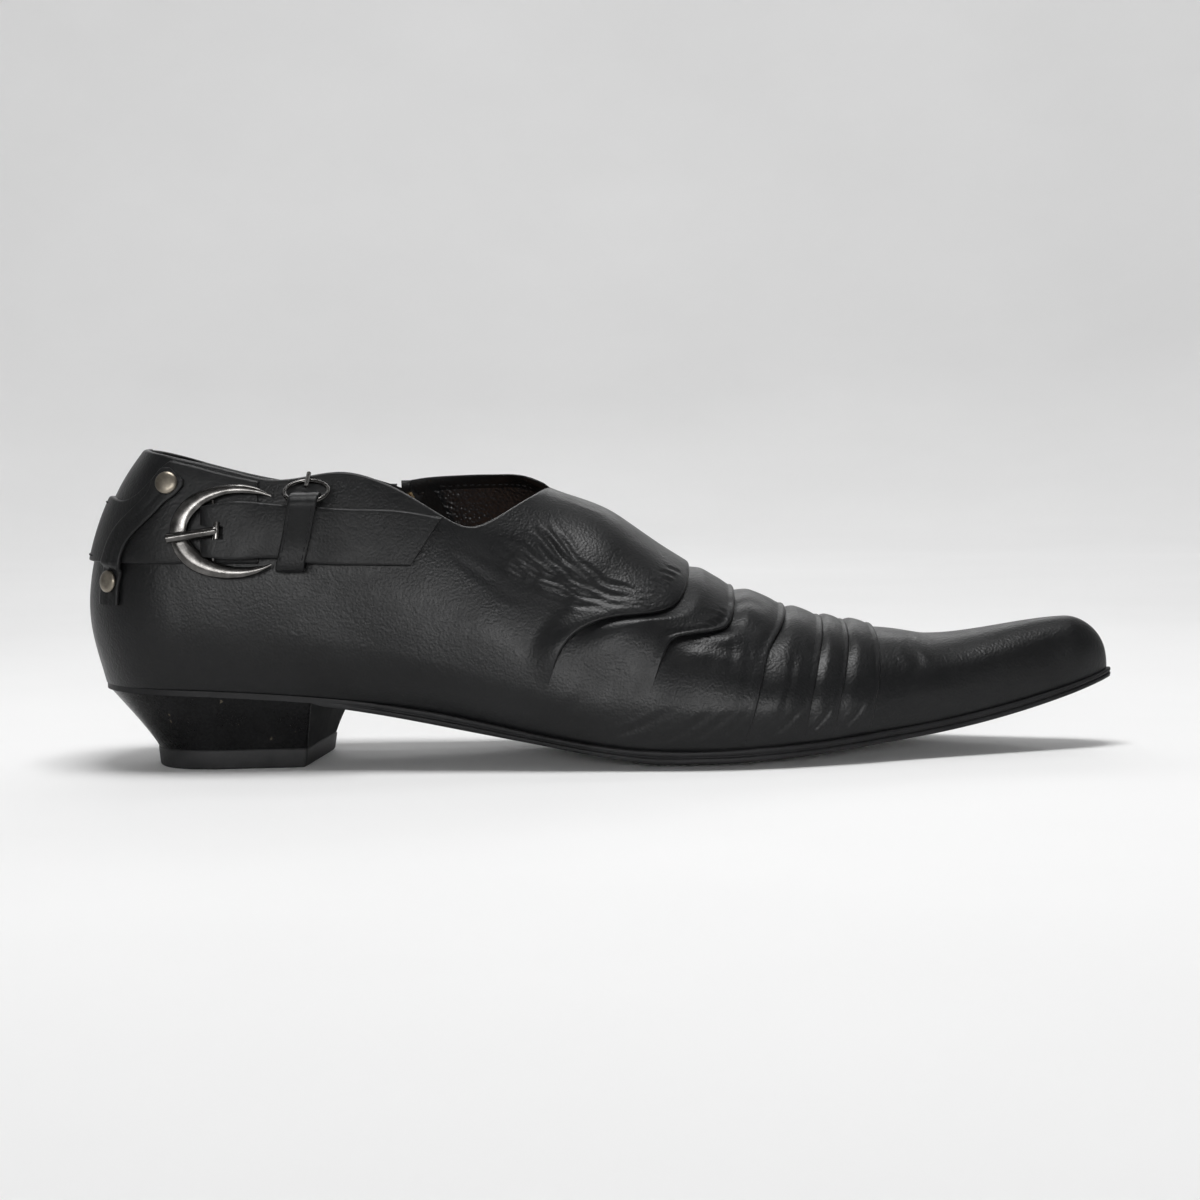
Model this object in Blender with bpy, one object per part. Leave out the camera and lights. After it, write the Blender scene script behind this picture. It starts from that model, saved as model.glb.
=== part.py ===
"""Right ankle-cut shoe: pleated leather upper on a low heel, with a buckled heel strap and a side zip.

The tables are in millimetres from the back of the heel (x), the heel-to-toe line (y) and the floor (z).
The toe points along +X, the outer side of the foot is -Y, and the shoe stands on z = 0.
"""
import math

import bmesh
import bpy
import numpy as np

# Driving dimensions, in millimetres
WALL = 1.8
GAP = 0.3
HEEL_X = 30.0
NOSE_X = 277.0
UPPER_TIP_X = 289.2
HEEL_ROUND = 2.15
NOSE_ROUND = 2.0
NOSE_CROWN = 2.6
SOLE_LIP = 1.1
SEAT_LIP = 0.4
SEAT_THICK = 1.6
BREAST_X = 70.2
BREAST_SLANT = 0.148
WAIST_LENGTH = 30.0
TOPLIFT_HEIGHT = 5.5
INSOLE_THICK = 2.0
FOLD_STEP = 0.7
MILLIMETRE = 0.001
LATERAL = -1
MEDIAL = 1

# One row for each section of the last. The crest behind the throat is the line that the last would have.
SECTION_COLUMNS = ("x", "feather", "crest", "lateral", "medial",
                   "lateral_foot", "medial_foot", "widest", "dome")
SECTIONS = (
    (0.0, 24.2, 118.0, 29.0, 29.0, 25.5, 25.5, 20.0, 2.0),
    (30.0, 22.9, 118.0, 29.5, 29.5, 25.8, 25.6, 20.0, 2.0),
    (66.0, 20.3, 116.0, 31.0, 29.5, 26.0, 23.5, 18.0, 2.0),
    (100.0, 15.6, 100.0, 34.5, 29.5, 27.5, 19.5, 15.0, 1.9),
    (131.0, 9.0, 76.4, 38.0, 32.5, 33.0, 24.5, 13.0, 1.8),
    (148.0, 6.3, 69.6, 39.5, 35.0, 36.5, 29.5, 12.0, 1.75),
    (165.0, 5.2, 56.3, 40.5, 38.0, 38.5, 34.5, 11.0, 1.75),
    (190.0, 5.9, 42.6, 39.0, 41.0, 37.5, 38.8, 10.0, 1.8),
    (206.0, 6.8, 37.5, 35.0, 40.0, 33.5, 38.5, 9.0, 1.85),
    (222.0, 8.4, 34.6, 29.5, 35.5, 28.0, 34.0, 8.5, 1.9),
    (240.0, 10.5, 32.9, 22.5, 27.0, 21.3, 25.6, 8.0, 2.0),
    (256.0, 13.3, 34.5, 17.2, 19.6, 16.2, 18.6, 7.5, 2.1),
    (277.0, 18.3, 37.1, 10.4, 11.0, 9.6, 10.2, 6.5, 2.2),
    (291.0, 22.4, 36.6, 6.6, 6.4, 6.0, 5.8, 6.0, 2.2),
)

# Sole: underside at the middle, and rise of its edge
SOLE_COLUMNS = ("x", "bottom", "camber")
SOLE_ROWS = (
    (66.0, 18.0, 0.2),
    (85.0, 14.6, 0.4),
    (105.0, 10.4, 0.7),
    (131.0, 5.0, 1.2),
    (148.0, 1.6, 1.6),
    (160.0, 0.0, 1.7),
    (180.0, 0.0, 1.8),
    (200.0, 1.5, 1.5),
    (222.0, 4.2, 1.0),
    (240.0, 6.6, 0.7),
    (256.0, 9.6, 0.6),
    (274.0, 14.2, 0.5),
    (291.0, 20.0, 0.2),
)
FLAT_SPOT = (158.0, 182.0)

# Back of the counter, from the heel seat to the collar
BACK_COLUMNS = ("z", "x")
BACK_ROWS = ((22.0, 4.6), (34.0, 1.3), (46.0, 0.0), (58.0, 1.7), (70.0, 5.4), (82.0, 11.6), (93.0, 20.0))

# Height of the collar's edge on either side
COLLAR_COLUMNS = ("x", "lateral", "medial")
COLLAR_ROWS = (
    (14.0, 89.4, 89.4),
    (28.0, 86.6, 85.2),
    (44.0, 82.5, 80.8),
    (58.0, 79.8, 78.2),
    (75.0, 81.6, 77.3),
    (84.0, 79.4, 77.6),
    (93.0, 74.9, 79.0),
    (102.0, 69.2, 79.6),
    (110.0, 66.0, 79.8),
    (116.0, 68.0, 79.8),
    (124.0, 72.6, 79.3),
    (131.0, 76.4, 76.4),
)

# Folds of the vamp on the outer side: x of each fold at these shares of the height
FOLD_SHARES = (0.0, 0.25, 0.5, 0.6, 0.7, 0.85, 1.0)
FOLD_COLUMNS = ("lateral", "sweep", "bow", "height", "fade_from", "fade_to")
FOLDS = (
    ((126.0, 131.0, 142.0, 153.7, 162.0, 167.5, 169.5), 32.0, 1.2, 1.9, 0.20, 0.40),
    ((154.0, 157.5, 161.6, 165.5, 175.0, 180.7, 182.0), 26.0, 1.3, 1.9, 0.38, 0.52),
    ((182.5, 185.5, 188.0, 189.0, 190.3, 193.7, 196.5), 20.0, 1.4, 1.9, 0.00, 0.25),
    ((198.8, 200.4, 202.3, 203.2, 204.0, 205.4, 206.8), 16.0, 1.4, 1.5, 0.00, 0.25),
    ((207.3, 208.5, 210.3, 211.1, 211.9, 212.8, 213.6), 13.5, 1.4, 1.4, 0.00, 0.25),
    ((217.5, 218.7, 220.2, 220.8, 221.2, 221.5, 221.3), 11.5, 1.4, 1.3, 0.00, 0.25),
)
THROAT_GUIDE = {LATERAL: (112.0, 114.0, 118.0, 120.0, 122.5, 126.5, 131.0),
                MEDIAL: (127.0, 127.4, 128.2, 128.6, 129.2, 130.2, 131.0)}
MEDIAL_FADE = (0.0, 0.25)
REAR_GUIDE_X = 60.0
TOE_GUIDE = (236.0, 237.5, 238.0)
GUIDE_SHARES = (0.0, 0.5, 1.0)

# Swell of the leather: from where the flap rises and how far, and a pleat's rise and the dip at its edge
FLAP_RISE = (0.55, 1.0)
FLAP_SWELL = 0.8
PLEAT_RISE = (0.0, 0.5)
PLEAT_DIP_FROM = 0.8
PLEAT_DIP = 0.25

# Zip: x of its middle at two shares of the height, half-width of its slit, and how much further
# a distance across the slanting zip reaches along x
ZIP_TOP = (0.62, 88.5)
ZIP_FOOT = (0.10, 116.0)
ZIP_HALF = 3.3
ZIP_SPREAD = 1.28

# Grid of the upper: rows up the side, and columns from the back seam to the toe
ROW_COUNT = 11
FOOT_ROWS = 3
FOOT_SHARE = 0.25
HEEL_COLUMNS = 8
COUNTER_COLUMNS = 4
LATERAL_PLACES = (0.12, 0.25, 0.38, 0.5, 0.61, 0.71, 0.8, 0.87, 0.93, 0.97)
ZIP_REAR_PLACES = (0.25, 0.5, 0.75)
ZIP_FRONT_PLACES = (0.2, 0.4, 0.6, 0.78, 0.91)
FLAP_COLUMNS = 7
PLEAT_COLUMNS = (5, 5, 4, 4, 4)
TOE_COLUMNS = 4
NOSE_COLUMNS = 6


class Curve:
    """Natural cubic through the knots of one table column, level beyond its ends."""

    def __init__(self, knots, values):
        self.knots = np.array(knots, float)
        self.values = np.array(values, float)
        step = np.diff(self.knots)
        count = len(self.knots)
        matrix = np.eye(count)
        right = np.zeros(count)
        for i in range(1, count - 1):
            matrix[i, i - 1:i + 2] = step[i - 1], 2 * (step[i - 1] + step[i]), step[i]
            slope_after = (self.values[i + 1] - self.values[i]) / step[i]
            slope_before = (self.values[i] - self.values[i - 1]) / step[i - 1]
            right[i] = 6 * (slope_after - slope_before)
        self.bend = np.linalg.solve(matrix, right)

    def __call__(self, at):
        at = np.clip(np.asarray(at, float), self.knots[0], self.knots[-1])
        i = np.clip(np.searchsorted(self.knots, at) - 1, 0, len(self.knots) - 2)
        step = self.knots[i + 1] - self.knots[i]
        b = (at - self.knots[i]) / step
        a = 1 - b
        cubic = (a ** 3 - a) * self.bend[i] + (b ** 3 - b) * self.bend[i + 1]
        return a * self.values[i] + b * self.values[i + 1] + cubic * step ** 2 / 6


def table_curves(columns, rows):
    """A curve for each named column of a table, over its first column."""
    knots = [row[0] for row in rows]
    return {name: Curve(knots, [row[i] for row in rows]) for i, name in enumerate(columns) if i}


LAST = table_curves(SECTION_COLUMNS, SECTIONS)
SOLE = table_curves(SOLE_COLUMNS, SOLE_ROWS)
COLLAR = table_curves(COLLAR_COLUMNS, COLLAR_ROWS)
BACK_X = table_curves(BACK_COLUMNS, BACK_ROWS)["x"]


def smooth(value, low, high):
    """0 below low, 1 above high, and an even rise between."""
    t = np.clip((np.asarray(value, float) - low) / (high - low), 0, 1)
    return t * t * (3 - 2 * t)


def side_name(side):
    return "lateral" if side == LATERAL else "medial"


def half_width(x, rise, side, offset=0.0):
    """Half-width of the section at x, at a height above the feather line."""
    foot = LAST[side_name(side) + "_foot"](x) + offset
    full = LAST[side_name(side)](x) + offset
    widest = LAST["widest"](x)
    top = LAST["crest"](x) + offset - LAST["feather"](x)
    below = foot + (full - foot) * (1 - (1 - np.clip(rise / widest, 0, 1)) ** 2)
    share = np.clip((rise - widest) / (top - widest), 0, 1)
    above = full * np.sqrt(np.clip(1 - share ** LAST["dome"](x), 0, 1))
    return np.where(rise < widest, below, above)


def section_point(x, share, side, offset=0.0):
    """Point of the last at x, at a share of the height from feather line to crest."""
    feather = LAST["feather"](x)
    rise = share * (LAST["crest"](x) + offset - feather)
    return np.stack([x + 0 * rise, side * half_width(x, rise, side, offset), feather + rise], axis=-1)


def heel_point(turn, z, side, offset=0.0):
    """Point of the heel's round back: turn 0 at the back seam, 1 at the heel section."""
    back = BACK_X(z) - offset
    angle = np.clip(turn, 0, 1) * math.pi / 2
    width = half_width(HEEL_X, z - LAST["feather"](HEEL_X), side, offset)
    x = HEEL_X - (HEEL_X - back) * np.cos(angle) ** (2 / HEEL_ROUND)
    return np.stack([x, side * width * np.sin(angle) ** (2 / HEEL_ROUND), z + 0 * x], axis=-1)


def nose_point(turn, share, side, offset=0.0):
    """Point of the round toe: turn 0 at the last full section, 1 at the tip."""
    reach = (UPPER_TIP_X + offset - NOSE_X) * np.sqrt(np.clip(1 - share ** NOSE_CROWN, 0, 1))
    angle = turn * math.pi / 2
    x = NOSE_X + reach * np.sin(angle) ** (2 / NOSE_ROUND)
    feather = LAST["feather"](x)
    rise = share * (LAST["crest"](x) + offset - feather)
    width = half_width(x, rise, side, offset) * np.cos(angle) ** (2 / NOSE_ROUND)
    return np.stack([x, side * width, feather + rise], axis=-1)


def wall_point(x, z, side, offset=0.0):
    """Point of the side wall at a given x and height, ahead of the heel section."""
    width = half_width(x, z - LAST["feather"](x), side, offset)
    return np.stack([x + 0 * width, side * width, z + 0 * width], axis=-1)


def guide_lines(side):
    """x of each mesh guide as a curve of the share of height: rear, zip, throat, folds and toe."""
    lines = {"rear": Curve(GUIDE_SHARES, (REAR_GUIDE_X,) * 3)}
    lines["throat"] = Curve(FOLD_SHARES, THROAT_GUIDE[side])
    for number, fold in enumerate(FOLDS):
        row = dict(zip(FOLD_COLUMNS, fold))
        crest = row["lateral"][-1]
        if side == LATERAL:
            places = row["lateral"]
        else:
            places = [crest - row["sweep"] * (1 - share) ** row["bow"] for share in FOLD_SHARES]
        lines[number] = Curve(FOLD_SHARES, places)
    lines["toe"] = Curve(GUIDE_SHARES, TOE_GUIDE)
    return lines


GUIDES = {side: guide_lines(side) for side in (LATERAL, MEDIAL)}


def zip_x(share, across=0.0):
    """x on the zip at a share of the height, a distance across from its middle."""
    slope = (ZIP_FOOT[1] - ZIP_TOP[1]) / (ZIP_FOOT[0] - ZIP_TOP[0])
    return ZIP_TOP[1] + slope * (share - ZIP_TOP[0]) + across * ZIP_SPREAD


def fold_strength(number, share, side):
    """How much of a fold's height is left at a share of the height."""
    row = dict(zip(FOLD_COLUMNS, FOLDS[number]))
    if side == LATERAL:
        return row["height"] * smooth(share, row["fade_from"], row["fade_to"])
    return row["height"] * smooth(share, *MEDIAL_FADE)


def pleat(number, s):
    """Swell of the leather between a fold and the next one: full before the next edge."""
    if number < 0:
        return smooth(s, *FLAP_RISE) * FLAP_SWELL
    return smooth(s, *PLEAT_RISE) * (1 - PLEAT_DIP * smooth(s, PLEAT_DIP_FROM, 1.0))


def row_shares():
    """Shares of the height of the grid's rows, closer together where the section turns fastest."""
    foot = np.linspace(0, FOOT_SHARE, FOOT_ROWS + 1)[:-1]
    turn = np.linspace(0, math.pi / 2, ROW_COUNT - FOOT_ROWS + 1)
    return np.concatenate([foot, FOOT_SHARE + (1 - FOOT_SHARE) * np.sin(turn)])


SHARES = row_shares()


def collar_share(line, side):
    """Share of the height at which a rear column meets the collar's edge."""
    low, high = 0.3, 1.0
    for _ in range(40):
        middle = (low + high) / 2
        x = float(line(middle))
        z = float(LAST["feather"](x) + middle * (LAST["crest"](x) - LAST["feather"](x)))
        if z > COLLAR[side_name(side)](x):
            high = middle
        else:
            low = middle
    return low


class Column:
    """One strip line of the upper, from the feather line up to the collar's edge or the crest."""

    def __init__(self, outer, inner, open_top, slit=False):
        self.outer = outer
        self.inner = inner
        self.open_top = open_top
        self.slit = slit


def lifted(points):
    """Raise the lowest row so that it stands a gap above the sole."""
    points = np.array(points)
    points[0, 2] += GAP
    return points


def heel_column(turn, side):
    """A column of the heel's back, from the seat to the collar."""
    top = COLLAR[side_name(side)](14.0)
    for _ in range(20):
        x = heel_point(turn, top, side)[0]
        top = COLLAR[side_name(side)](x)
    low = LAST["feather"](heel_point(turn, 24.0, side)[0])
    z = low + (top - low) * SHARES
    return Column(lifted(heel_point(turn, z, side)), lifted(heel_point(turn, z, side, -WALL)), True)


def wall_column(line, side, slit=False):
    """A column between the heel section and the throat."""
    shares = SHARES * collar_share(line, side)
    x = line(shares)
    outer = section_point(x, shares, side)
    z = outer[:, 2]
    return Column(lifted(outer), lifted(wall_point(x, z, side, -WALL)), True, slit)


def vamp_column(line, side, swell):
    """A column of the vamp, with the pleats' swell on its outer face."""
    x = line(SHARES)
    return Column(lifted(section_point(x, SHARES, side, swell(SHARES))),
                  lifted(section_point(x, SHARES, side, -WALL)), False)


def nose_column(turn, side):
    outer = lifted(nose_point(turn, SHARES, side))
    inner = lifted(nose_point(turn, SHARES, side, -WALL))
    return Column(outer, inner, False)


def between(first, second, s):
    """A line a share s of the way from one guide to the next."""
    return lambda share: first(share) * (1 - s) + second(share) * s


def vamp_columns(side):
    """Columns from the throat to the last full section, two at each fold: its edge and the drop."""
    guides = GUIDES[side]
    columns = []
    for s in np.linspace(0, 1, FLAP_COLUMNS):
        def swell(share, s=s):
            return fold_strength(0, share, side) * pleat(-1, s)
        columns.append(vamp_column(between(guides["throat"], guides[0], s), side, swell))
    for number, count in enumerate(PLEAT_COLUMNS):
        start = (lambda share, g=guides[number]: g(share) + FOLD_STEP)
        for s in np.linspace(0, 1, count):
            def swell(share, s=s, number=number):
                return fold_strength(number + 1, share, side) * pleat(number, s)
            columns.append(vamp_column(between(start, guides[number + 1], s), side, swell))
    start = (lambda share: guides[len(FOLDS) - 1](share) + FOLD_STEP)
    for s in np.linspace(0, 1, TOE_COLUMNS):
        columns.append(vamp_column(between(start, guides["toe"], s), side, lambda share: 0 * share))
    nose = Curve(GUIDE_SHARES, (NOSE_X,) * 3)
    for s in np.linspace(0, 1, NOSE_COLUMNS)[1:]:
        columns.append(vamp_column(between(guides["toe"], nose, s), side, lambda share: 0 * share))
    return columns


def rear_columns(side):
    """Columns from the back seam to just behind the throat, with the zip's two edges on the inner side."""
    guides = GUIDES[side]
    rear, throat = guides["rear"], guides["throat"]
    heel_line = Curve(GUIDE_SHARES, (HEEL_X,) * 3)
    columns = [heel_column(turn, side) for turn in np.linspace(0, 1, HEEL_COLUMNS)[:-1]]
    columns += [wall_column(between(heel_line, rear, s), side) for s in np.linspace(0, 1, COUNTER_COLUMNS)]
    if side == LATERAL:
        return columns + [wall_column(between(rear, throat, s), side) for s in LATERAL_PLACES]

    def near(share):
        return zip_x(share, -ZIP_HALF)

    def far(share):
        return zip_x(share, ZIP_HALF)

    columns += [wall_column(between(rear, near, s), side) for s in ZIP_REAR_PLACES]
    columns.append(wall_column(near, side, slit=True))
    columns.append(wall_column(far, side))
    return columns + [wall_column(between(far, throat, s), side) for s in ZIP_FRONT_PLACES]


def upper_columns():
    """All columns once round the shoe: back seam, outer side, toe, inner side."""
    turns = np.linspace(0, 1, 6)
    lateral = rear_columns(LATERAL) + vamp_columns(LATERAL) + [nose_column(t, LATERAL) for t in turns[1:]]
    medial = rear_columns(MEDIAL) + vamp_columns(MEDIAL) + [nose_column(t, MEDIAL) for t in turns[1:-1]]
    return lateral + medial[:0:-1]


class Solid:
    """Collects points and faces of one closed mesh, in millimetres; equal points become one."""

    def __init__(self):
        self.points = []
        self.index = {}
        self.faces = []

    def point(self, p):
        key = tuple(round(float(v), 4) for v in p)
        if key not in self.index:
            self.index[key] = len(self.points)
            self.points.append(key)
        return self.index[key]

    def face(self, *corners):
        ids = []
        for corner in corners:
            i = self.point(corner)
            if i not in ids:
                ids.append(i)
        if len(ids) > 2:
            self.faces.append(ids)

    def strip(self, first, second):
        """Faces between two lines of points."""
        for j in range(len(first) - 1):
            self.face(first[j], second[j], second[j + 1], first[j + 1])

    def rings(self, rings, capped=True):
        """Faces between closed rings of points, with the end rings filled."""
        for first, second in zip(rings, rings[1:]):
            self.strip(list(first) + [first[0]], list(second) + [second[0]])
        if capped:
            self.face(*rings[0][::-1])
            self.face(*rings[-1])


def make_material(name, colour, roughness, metallic=0.0):
    material = bpy.data.materials.get(name)
    if material is None:
        material = bpy.data.materials.new(name)
        material.use_nodes = True
        shader = material.node_tree.nodes["Principled BSDF"]
        shader.inputs["Base Color"].default_value = (*colour, 1.0)
        shader.inputs["Roughness"].default_value = roughness
        shader.inputs["Metallic"].default_value = metallic
    return material


def make_object(name, solid, material, smooth_angle=35.0):
    """A named object from a solid, triangulated, with its faces pointing out."""
    mesh = bpy.data.meshes.new(name)
    mesh.from_pydata([[v * MILLIMETRE for v in p] for p in solid.points], [], solid.faces)
    bm = bmesh.new()
    bm.from_mesh(mesh)
    bmesh.ops.triangulate(bm, faces=[f for f in bm.faces if len(f.verts) > 3])
    bmesh.ops.recalc_face_normals(bm, faces=bm.faces)
    if bm.calc_volume(signed=True) < 0:
        bmesh.ops.reverse_faces(bm, faces=bm.faces)
    bm.to_mesh(mesh)
    bm.free()
    mesh.shade_smooth()
    mesh.set_sharp_from_angle(angle=math.radians(smooth_angle))
    obj = bpy.data.objects.new(name, mesh)
    obj.data.materials.append(material)
    bpy.context.scene.collection.objects.link(obj)
    obj.parent = FRAME
    return obj


def make_upper(material):
    """The hollow leather shell: outer and inner face, rims at collar, slit and underside."""
    solid = Solid()
    columns = upper_columns()
    count = len(columns)
    for i in range(count):
        here, after = columns[i], columns[(i + 1) % count]
        slit_row = None
        if after.slit and here.open_top:
            slit_row = FOOT_ROWS
        last = len(SHARES) - 1
        for j in range(last):
            if slit_row is not None and j >= slit_row:
                continue
            solid.face(here.outer[j], after.outer[j], after.outer[j + 1], here.outer[j + 1])
            solid.face(here.inner[j], here.inner[j + 1], after.inner[j + 1], after.inner[j])
        solid.face(here.outer[0], here.inner[0], after.inner[0], after.outer[0])
        if slit_row is not None:
            row = slit_row
            solid.face(here.outer[row], after.outer[row], after.inner[row], here.inner[row])
            for j in range(row, last):
                solid.face(here.outer[j], here.inner[j], here.inner[j + 1], here.outer[j + 1])
                solid.face(after.outer[j], after.outer[j + 1], after.inner[j + 1], after.inner[j])
        elif here.open_top or after.open_top:
            solid.face(here.outer[last], after.outer[last], after.inner[last], here.inner[last])
    return make_object("upper", solid, material)


def plan_width(x, side, inset=0.0):
    """Half-width of the feather outline at x, round at heel and toe, moved in by inset."""
    foot = LAST[side_name(side) + "_foot"]
    back = BACK_X(22.0) + inset
    tip = UPPER_TIP_X - inset
    x = np.asarray(x, float)
    middle = foot(np.maximum(x, HEEL_X)) - inset
    heel = np.clip(1 - np.clip((HEEL_X - x) / (HEEL_X - back), 0, 1) ** HEEL_ROUND, 0, 1) ** (1 / HEEL_ROUND)
    nose = np.clip(1 - np.clip((x - NOSE_X) / (tip - NOSE_X), 0, 1) ** NOSE_ROUND, 0, 1) ** (1 / NOSE_ROUND)
    return middle * heel * nose


# Edge of the sole: steps in from its outline, and share of its thickness below the top
EDGE_ROWS = ((0, 0.0), (0, 0.42), (1, 0.5), (1, 0.88), (2, 1.0))
EDGE_STEP = 0.4
EDGE_STEP_SHARE = 0.2
UNDER_SHARES = (0.72, 0.45)


def sole_bottom(x, across):
    """Underside of the sole: level on its flat spot, with edges that lift a little."""
    bottom = np.where((x > FLAT_SPOT[0]) & (x < FLAT_SPOT[1]), 0.0, np.maximum(SOLE["bottom"](x), 0.0))
    return bottom + SOLE["camber"](x) * smooth(np.abs(across), UNDER_SHARES[-1], 1.0)


def sole_lip(x):
    """How far the sole stands out from the upper: flush at the heel, a lip round the forefoot."""
    return SEAT_LIP + (SOLE_LIP - SEAT_LIP) * float(smooth(x, BREAST_X, BREAST_X + WAIST_LENGTH))


def sole_under(x, width, side, share):
    """Underside at a share of the half-width: the thin heel seat behind the breast, the full sole ahead."""
    if x < BREAST_X + BREAST_SLANT * side * width * share:
        return float(LAST["feather"](x)) - SEAT_THICK
    return float(sole_bottom(x, share))


def sole_ring(x):
    """Closed section of the sole at x: top, stepped edge and underside."""
    top = float(LAST["feather"](x))
    ring = []
    for side in (LATERAL, MEDIAL):
        width = float(plan_width(x, side, -sole_lip(x)))
        thick = top - sole_under(x, width, side, 1.0)
        step = min(EDGE_STEP, width * EDGE_STEP_SHARE)
        half = [(width - steps * step, top - down * thick) for steps, down in EDGE_ROWS]
        half += [(width * share, sole_under(x, width, side, share)) for share in UNDER_SHARES]
        points = [(x, side * y, z) for y, z in half]
        ring += points if side == LATERAL else points[::-1]
    return ring


def end_stations(start, end, turns):
    """Stations of a round end, closer together towards its tip."""
    return [start + (end - start) * math.sin(turn * math.pi / 2) for turn in turns]


def make_outsole(material):
    """Full-length sole: thin heel seat, arched waist, flat spot, toe spring."""
    solid = Solid()
    back = float(BACK_X(22.0)) - SEAT_LIP
    stations = end_stations(HEEL_X, back, (0.9, 0.75, 0.58, 0.4, 0.2))
    stations += list(np.linspace(HEEL_X, BREAST_X - 5.7, 5))
    stations += list(np.linspace(BREAST_X - 4.2, BREAST_X + 4.8, 7))
    stations += list(np.linspace(BREAST_X + 11, FLAT_SPOT[0], 8))
    stations += list(np.linspace(FLAT_SPOT[0] + 0.5, FLAT_SPOT[1], 4))
    stations += list(np.linspace(FLAT_SPOT[1] + 7, NOSE_X, 9))
    stations += end_stations(NOSE_X, UPPER_TIP_X + SOLE_LIP, (0.2, 0.4, 0.58, 0.74, 0.87, 0.97))
    solid.rings([sole_ring(x) for x in stations])
    return make_object("outsole", solid, material, 30)


def make_insole(material):
    """Sock inside the upper, resting on the sole."""
    solid = Solid()
    inset = WALL + GAP
    back = float(BACK_X(24.0)) + inset
    stations = end_stations(HEEL_X, back, (0.88, 0.7, 0.5, 0.25, 0.0))
    stations += list(np.linspace(HEEL_X + 9, NOSE_X, 24))
    stations += end_stations(NOSE_X, UPPER_TIP_X - inset, (0.3, 0.55, 0.75, 0.9))
    rings = []
    for x in stations:
        low = float(LAST["feather"](x)) + GAP
        high = low + INSOLE_THICK
        ring = []
        for side in (LATERAL, MEDIAL):
            width = float(plan_width(x, side, inset))
            half = [(0.5 * width, low), (width, low), (width, high), (0.5 * width, high)]
            points = [(x, side * y, z) for y, z in half]
            ring += points if side == MEDIAL else points[::-1]
        rings.append(ring)
    solid.rings(rings)
    return make_object("insole", solid, material, 30)


# Heel: plan of its top and of its foot; its breast is further forward on the inner side by twice the slant
HEEL_SEAT = {"back": 5.2, "front": 68.4, "slant": 3.75, "half": 26.4}
HEEL_FOOT = {"back": 18.2, "front": 64.5, "slant": 1.9, "half": 20.0}
HEEL_PLAN_ROUND = 2.3
HEEL_TAPER = 1.15
HEEL_ARC = 0.98
HEEL_NARROW = 0.045
HEEL_LEVELS = (0.0, 0.2, 0.45, 0.72, 1.0)
# Top piece of the heel: height, and size as a share of the heel's foot
LIFT_ROWS = ((0.0, 0.965), (0.7, 0.985), (TOPLIFT_HEIGHT, 1.0))


def heel_half(size, side):
    """One side of a heel ring: round the back, then straight to the breast."""
    middle = size["back"] + size["half"] * HEEL_ARC
    front = size["front"] + side * size["slant"]
    points = []
    for angle in np.linspace(0.06, 1, 9) * math.pi / 2:
        x = middle - (middle - size["back"]) * math.cos(angle) ** (2 / HEEL_PLAN_ROUND)
        points.append((x, side * size["half"] * math.sin(angle) ** (2 / HEEL_PLAN_ROUND)))
    for share in np.linspace(0, 1, 4)[1:]:
        points.append((middle + (front - middle) * share, side * size["half"] * (1 - HEEL_NARROW * share)))
    return points


def heel_ring(level, height):
    """Ring of the heel between its foot (level 0) and its seat (level 1)."""
    swell = level ** HEEL_TAPER
    size = {key: HEEL_FOOT[key] + (HEEL_SEAT[key] - HEEL_FOOT[key]) * swell for key in HEEL_SEAT}
    ring = heel_half(size, LATERAL) + heel_half(size, MEDIAL)[::-1]
    return [(x, y, height(x)) for x, y in ring]


def heel_cap(solid, ring, flip):
    """Fill a heel ring across, pair by pair, so that it follows the seat's slope."""
    half = len(ring) // 2
    for i in range(half - 1):
        corners = (ring[i], ring[i + 1], ring[-2 - i], ring[-1 - i])
        solid.face(*(corners[::-1] if flip else corners))


def make_heel(material, lift_material):
    """Tapered block heel under the seat, and the top piece that it stands on."""
    foot = TOPLIFT_HEIGHT + GAP

    def seat(x):
        return float(LAST["feather"](x)) - SEAT_THICK - GAP

    solid = Solid()
    rings = []
    for level in HEEL_LEVELS:
        rings.append(heel_ring(level, lambda x, level=level: foot + (seat(x) - foot) * level))
    solid.rings(rings, capped=False)
    heel_cap(solid, rings[0], True)
    heel_cap(solid, rings[-1], False)
    block = make_object("heel_block", solid, material, 40)
    lift = Solid()
    plan = heel_ring(0.0, lambda x: 0.0)
    centre_x = sum(p[0] for p in plan) / len(plan)
    lift_rings = []
    for z, shrink in LIFT_ROWS:
        lift_rings.append([(centre_x + (x - centre_x) * shrink, y * shrink, z) for x, y, _ in plan])
    lift.rings(lift_rings, capped=False)
    heel_cap(lift, lift_rings[0], True)
    heel_cap(lift, lift_rings[-1], False)
    return block, make_object("heel_toplift", lift, lift_material, 40)


# Heel band: heights of its lower and upper edge, by station round the shoe.
# Station 0 is the back seam, 1 the heel section, and each 0.01 more is a millimetre forward.
STATION_LENGTH = 100.0
BAND_THICK = 1.3
BAND_COLUMNS = ("station", "low", "high")
BAND_LATERAL = ((0.0, 58.6, 76.2), (0.35, 58.4, 76.0), (0.7, 58.2, 77.5), (0.95, 58.0, 84.0),
                (1.1, 57.8, 82.0), (1.22, 57.6, 79.6))
BAND_MEDIAL = ((0.0, 58.6, 76.2), (0.5, 55.0, 72.5), (1.0, 49.5, 67.0), (1.3, 44.5, 62.0), (1.6, 41.5, 59.0))
BAND_LATERAL_STATIONS = (1.22, 1.1, 1.0, 0.92, 0.84, 0.75, 0.65, 0.54, 0.43, 0.32, 0.2, 0.1)
BAND_MEDIAL_STATIONS = (0.0, 0.12, 0.25, 0.38, 0.5, 0.62, 0.74, 0.87, 1.0, 1.15, 1.3, 1.42)
BAND_ZIP_GAP = 1.2

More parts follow.
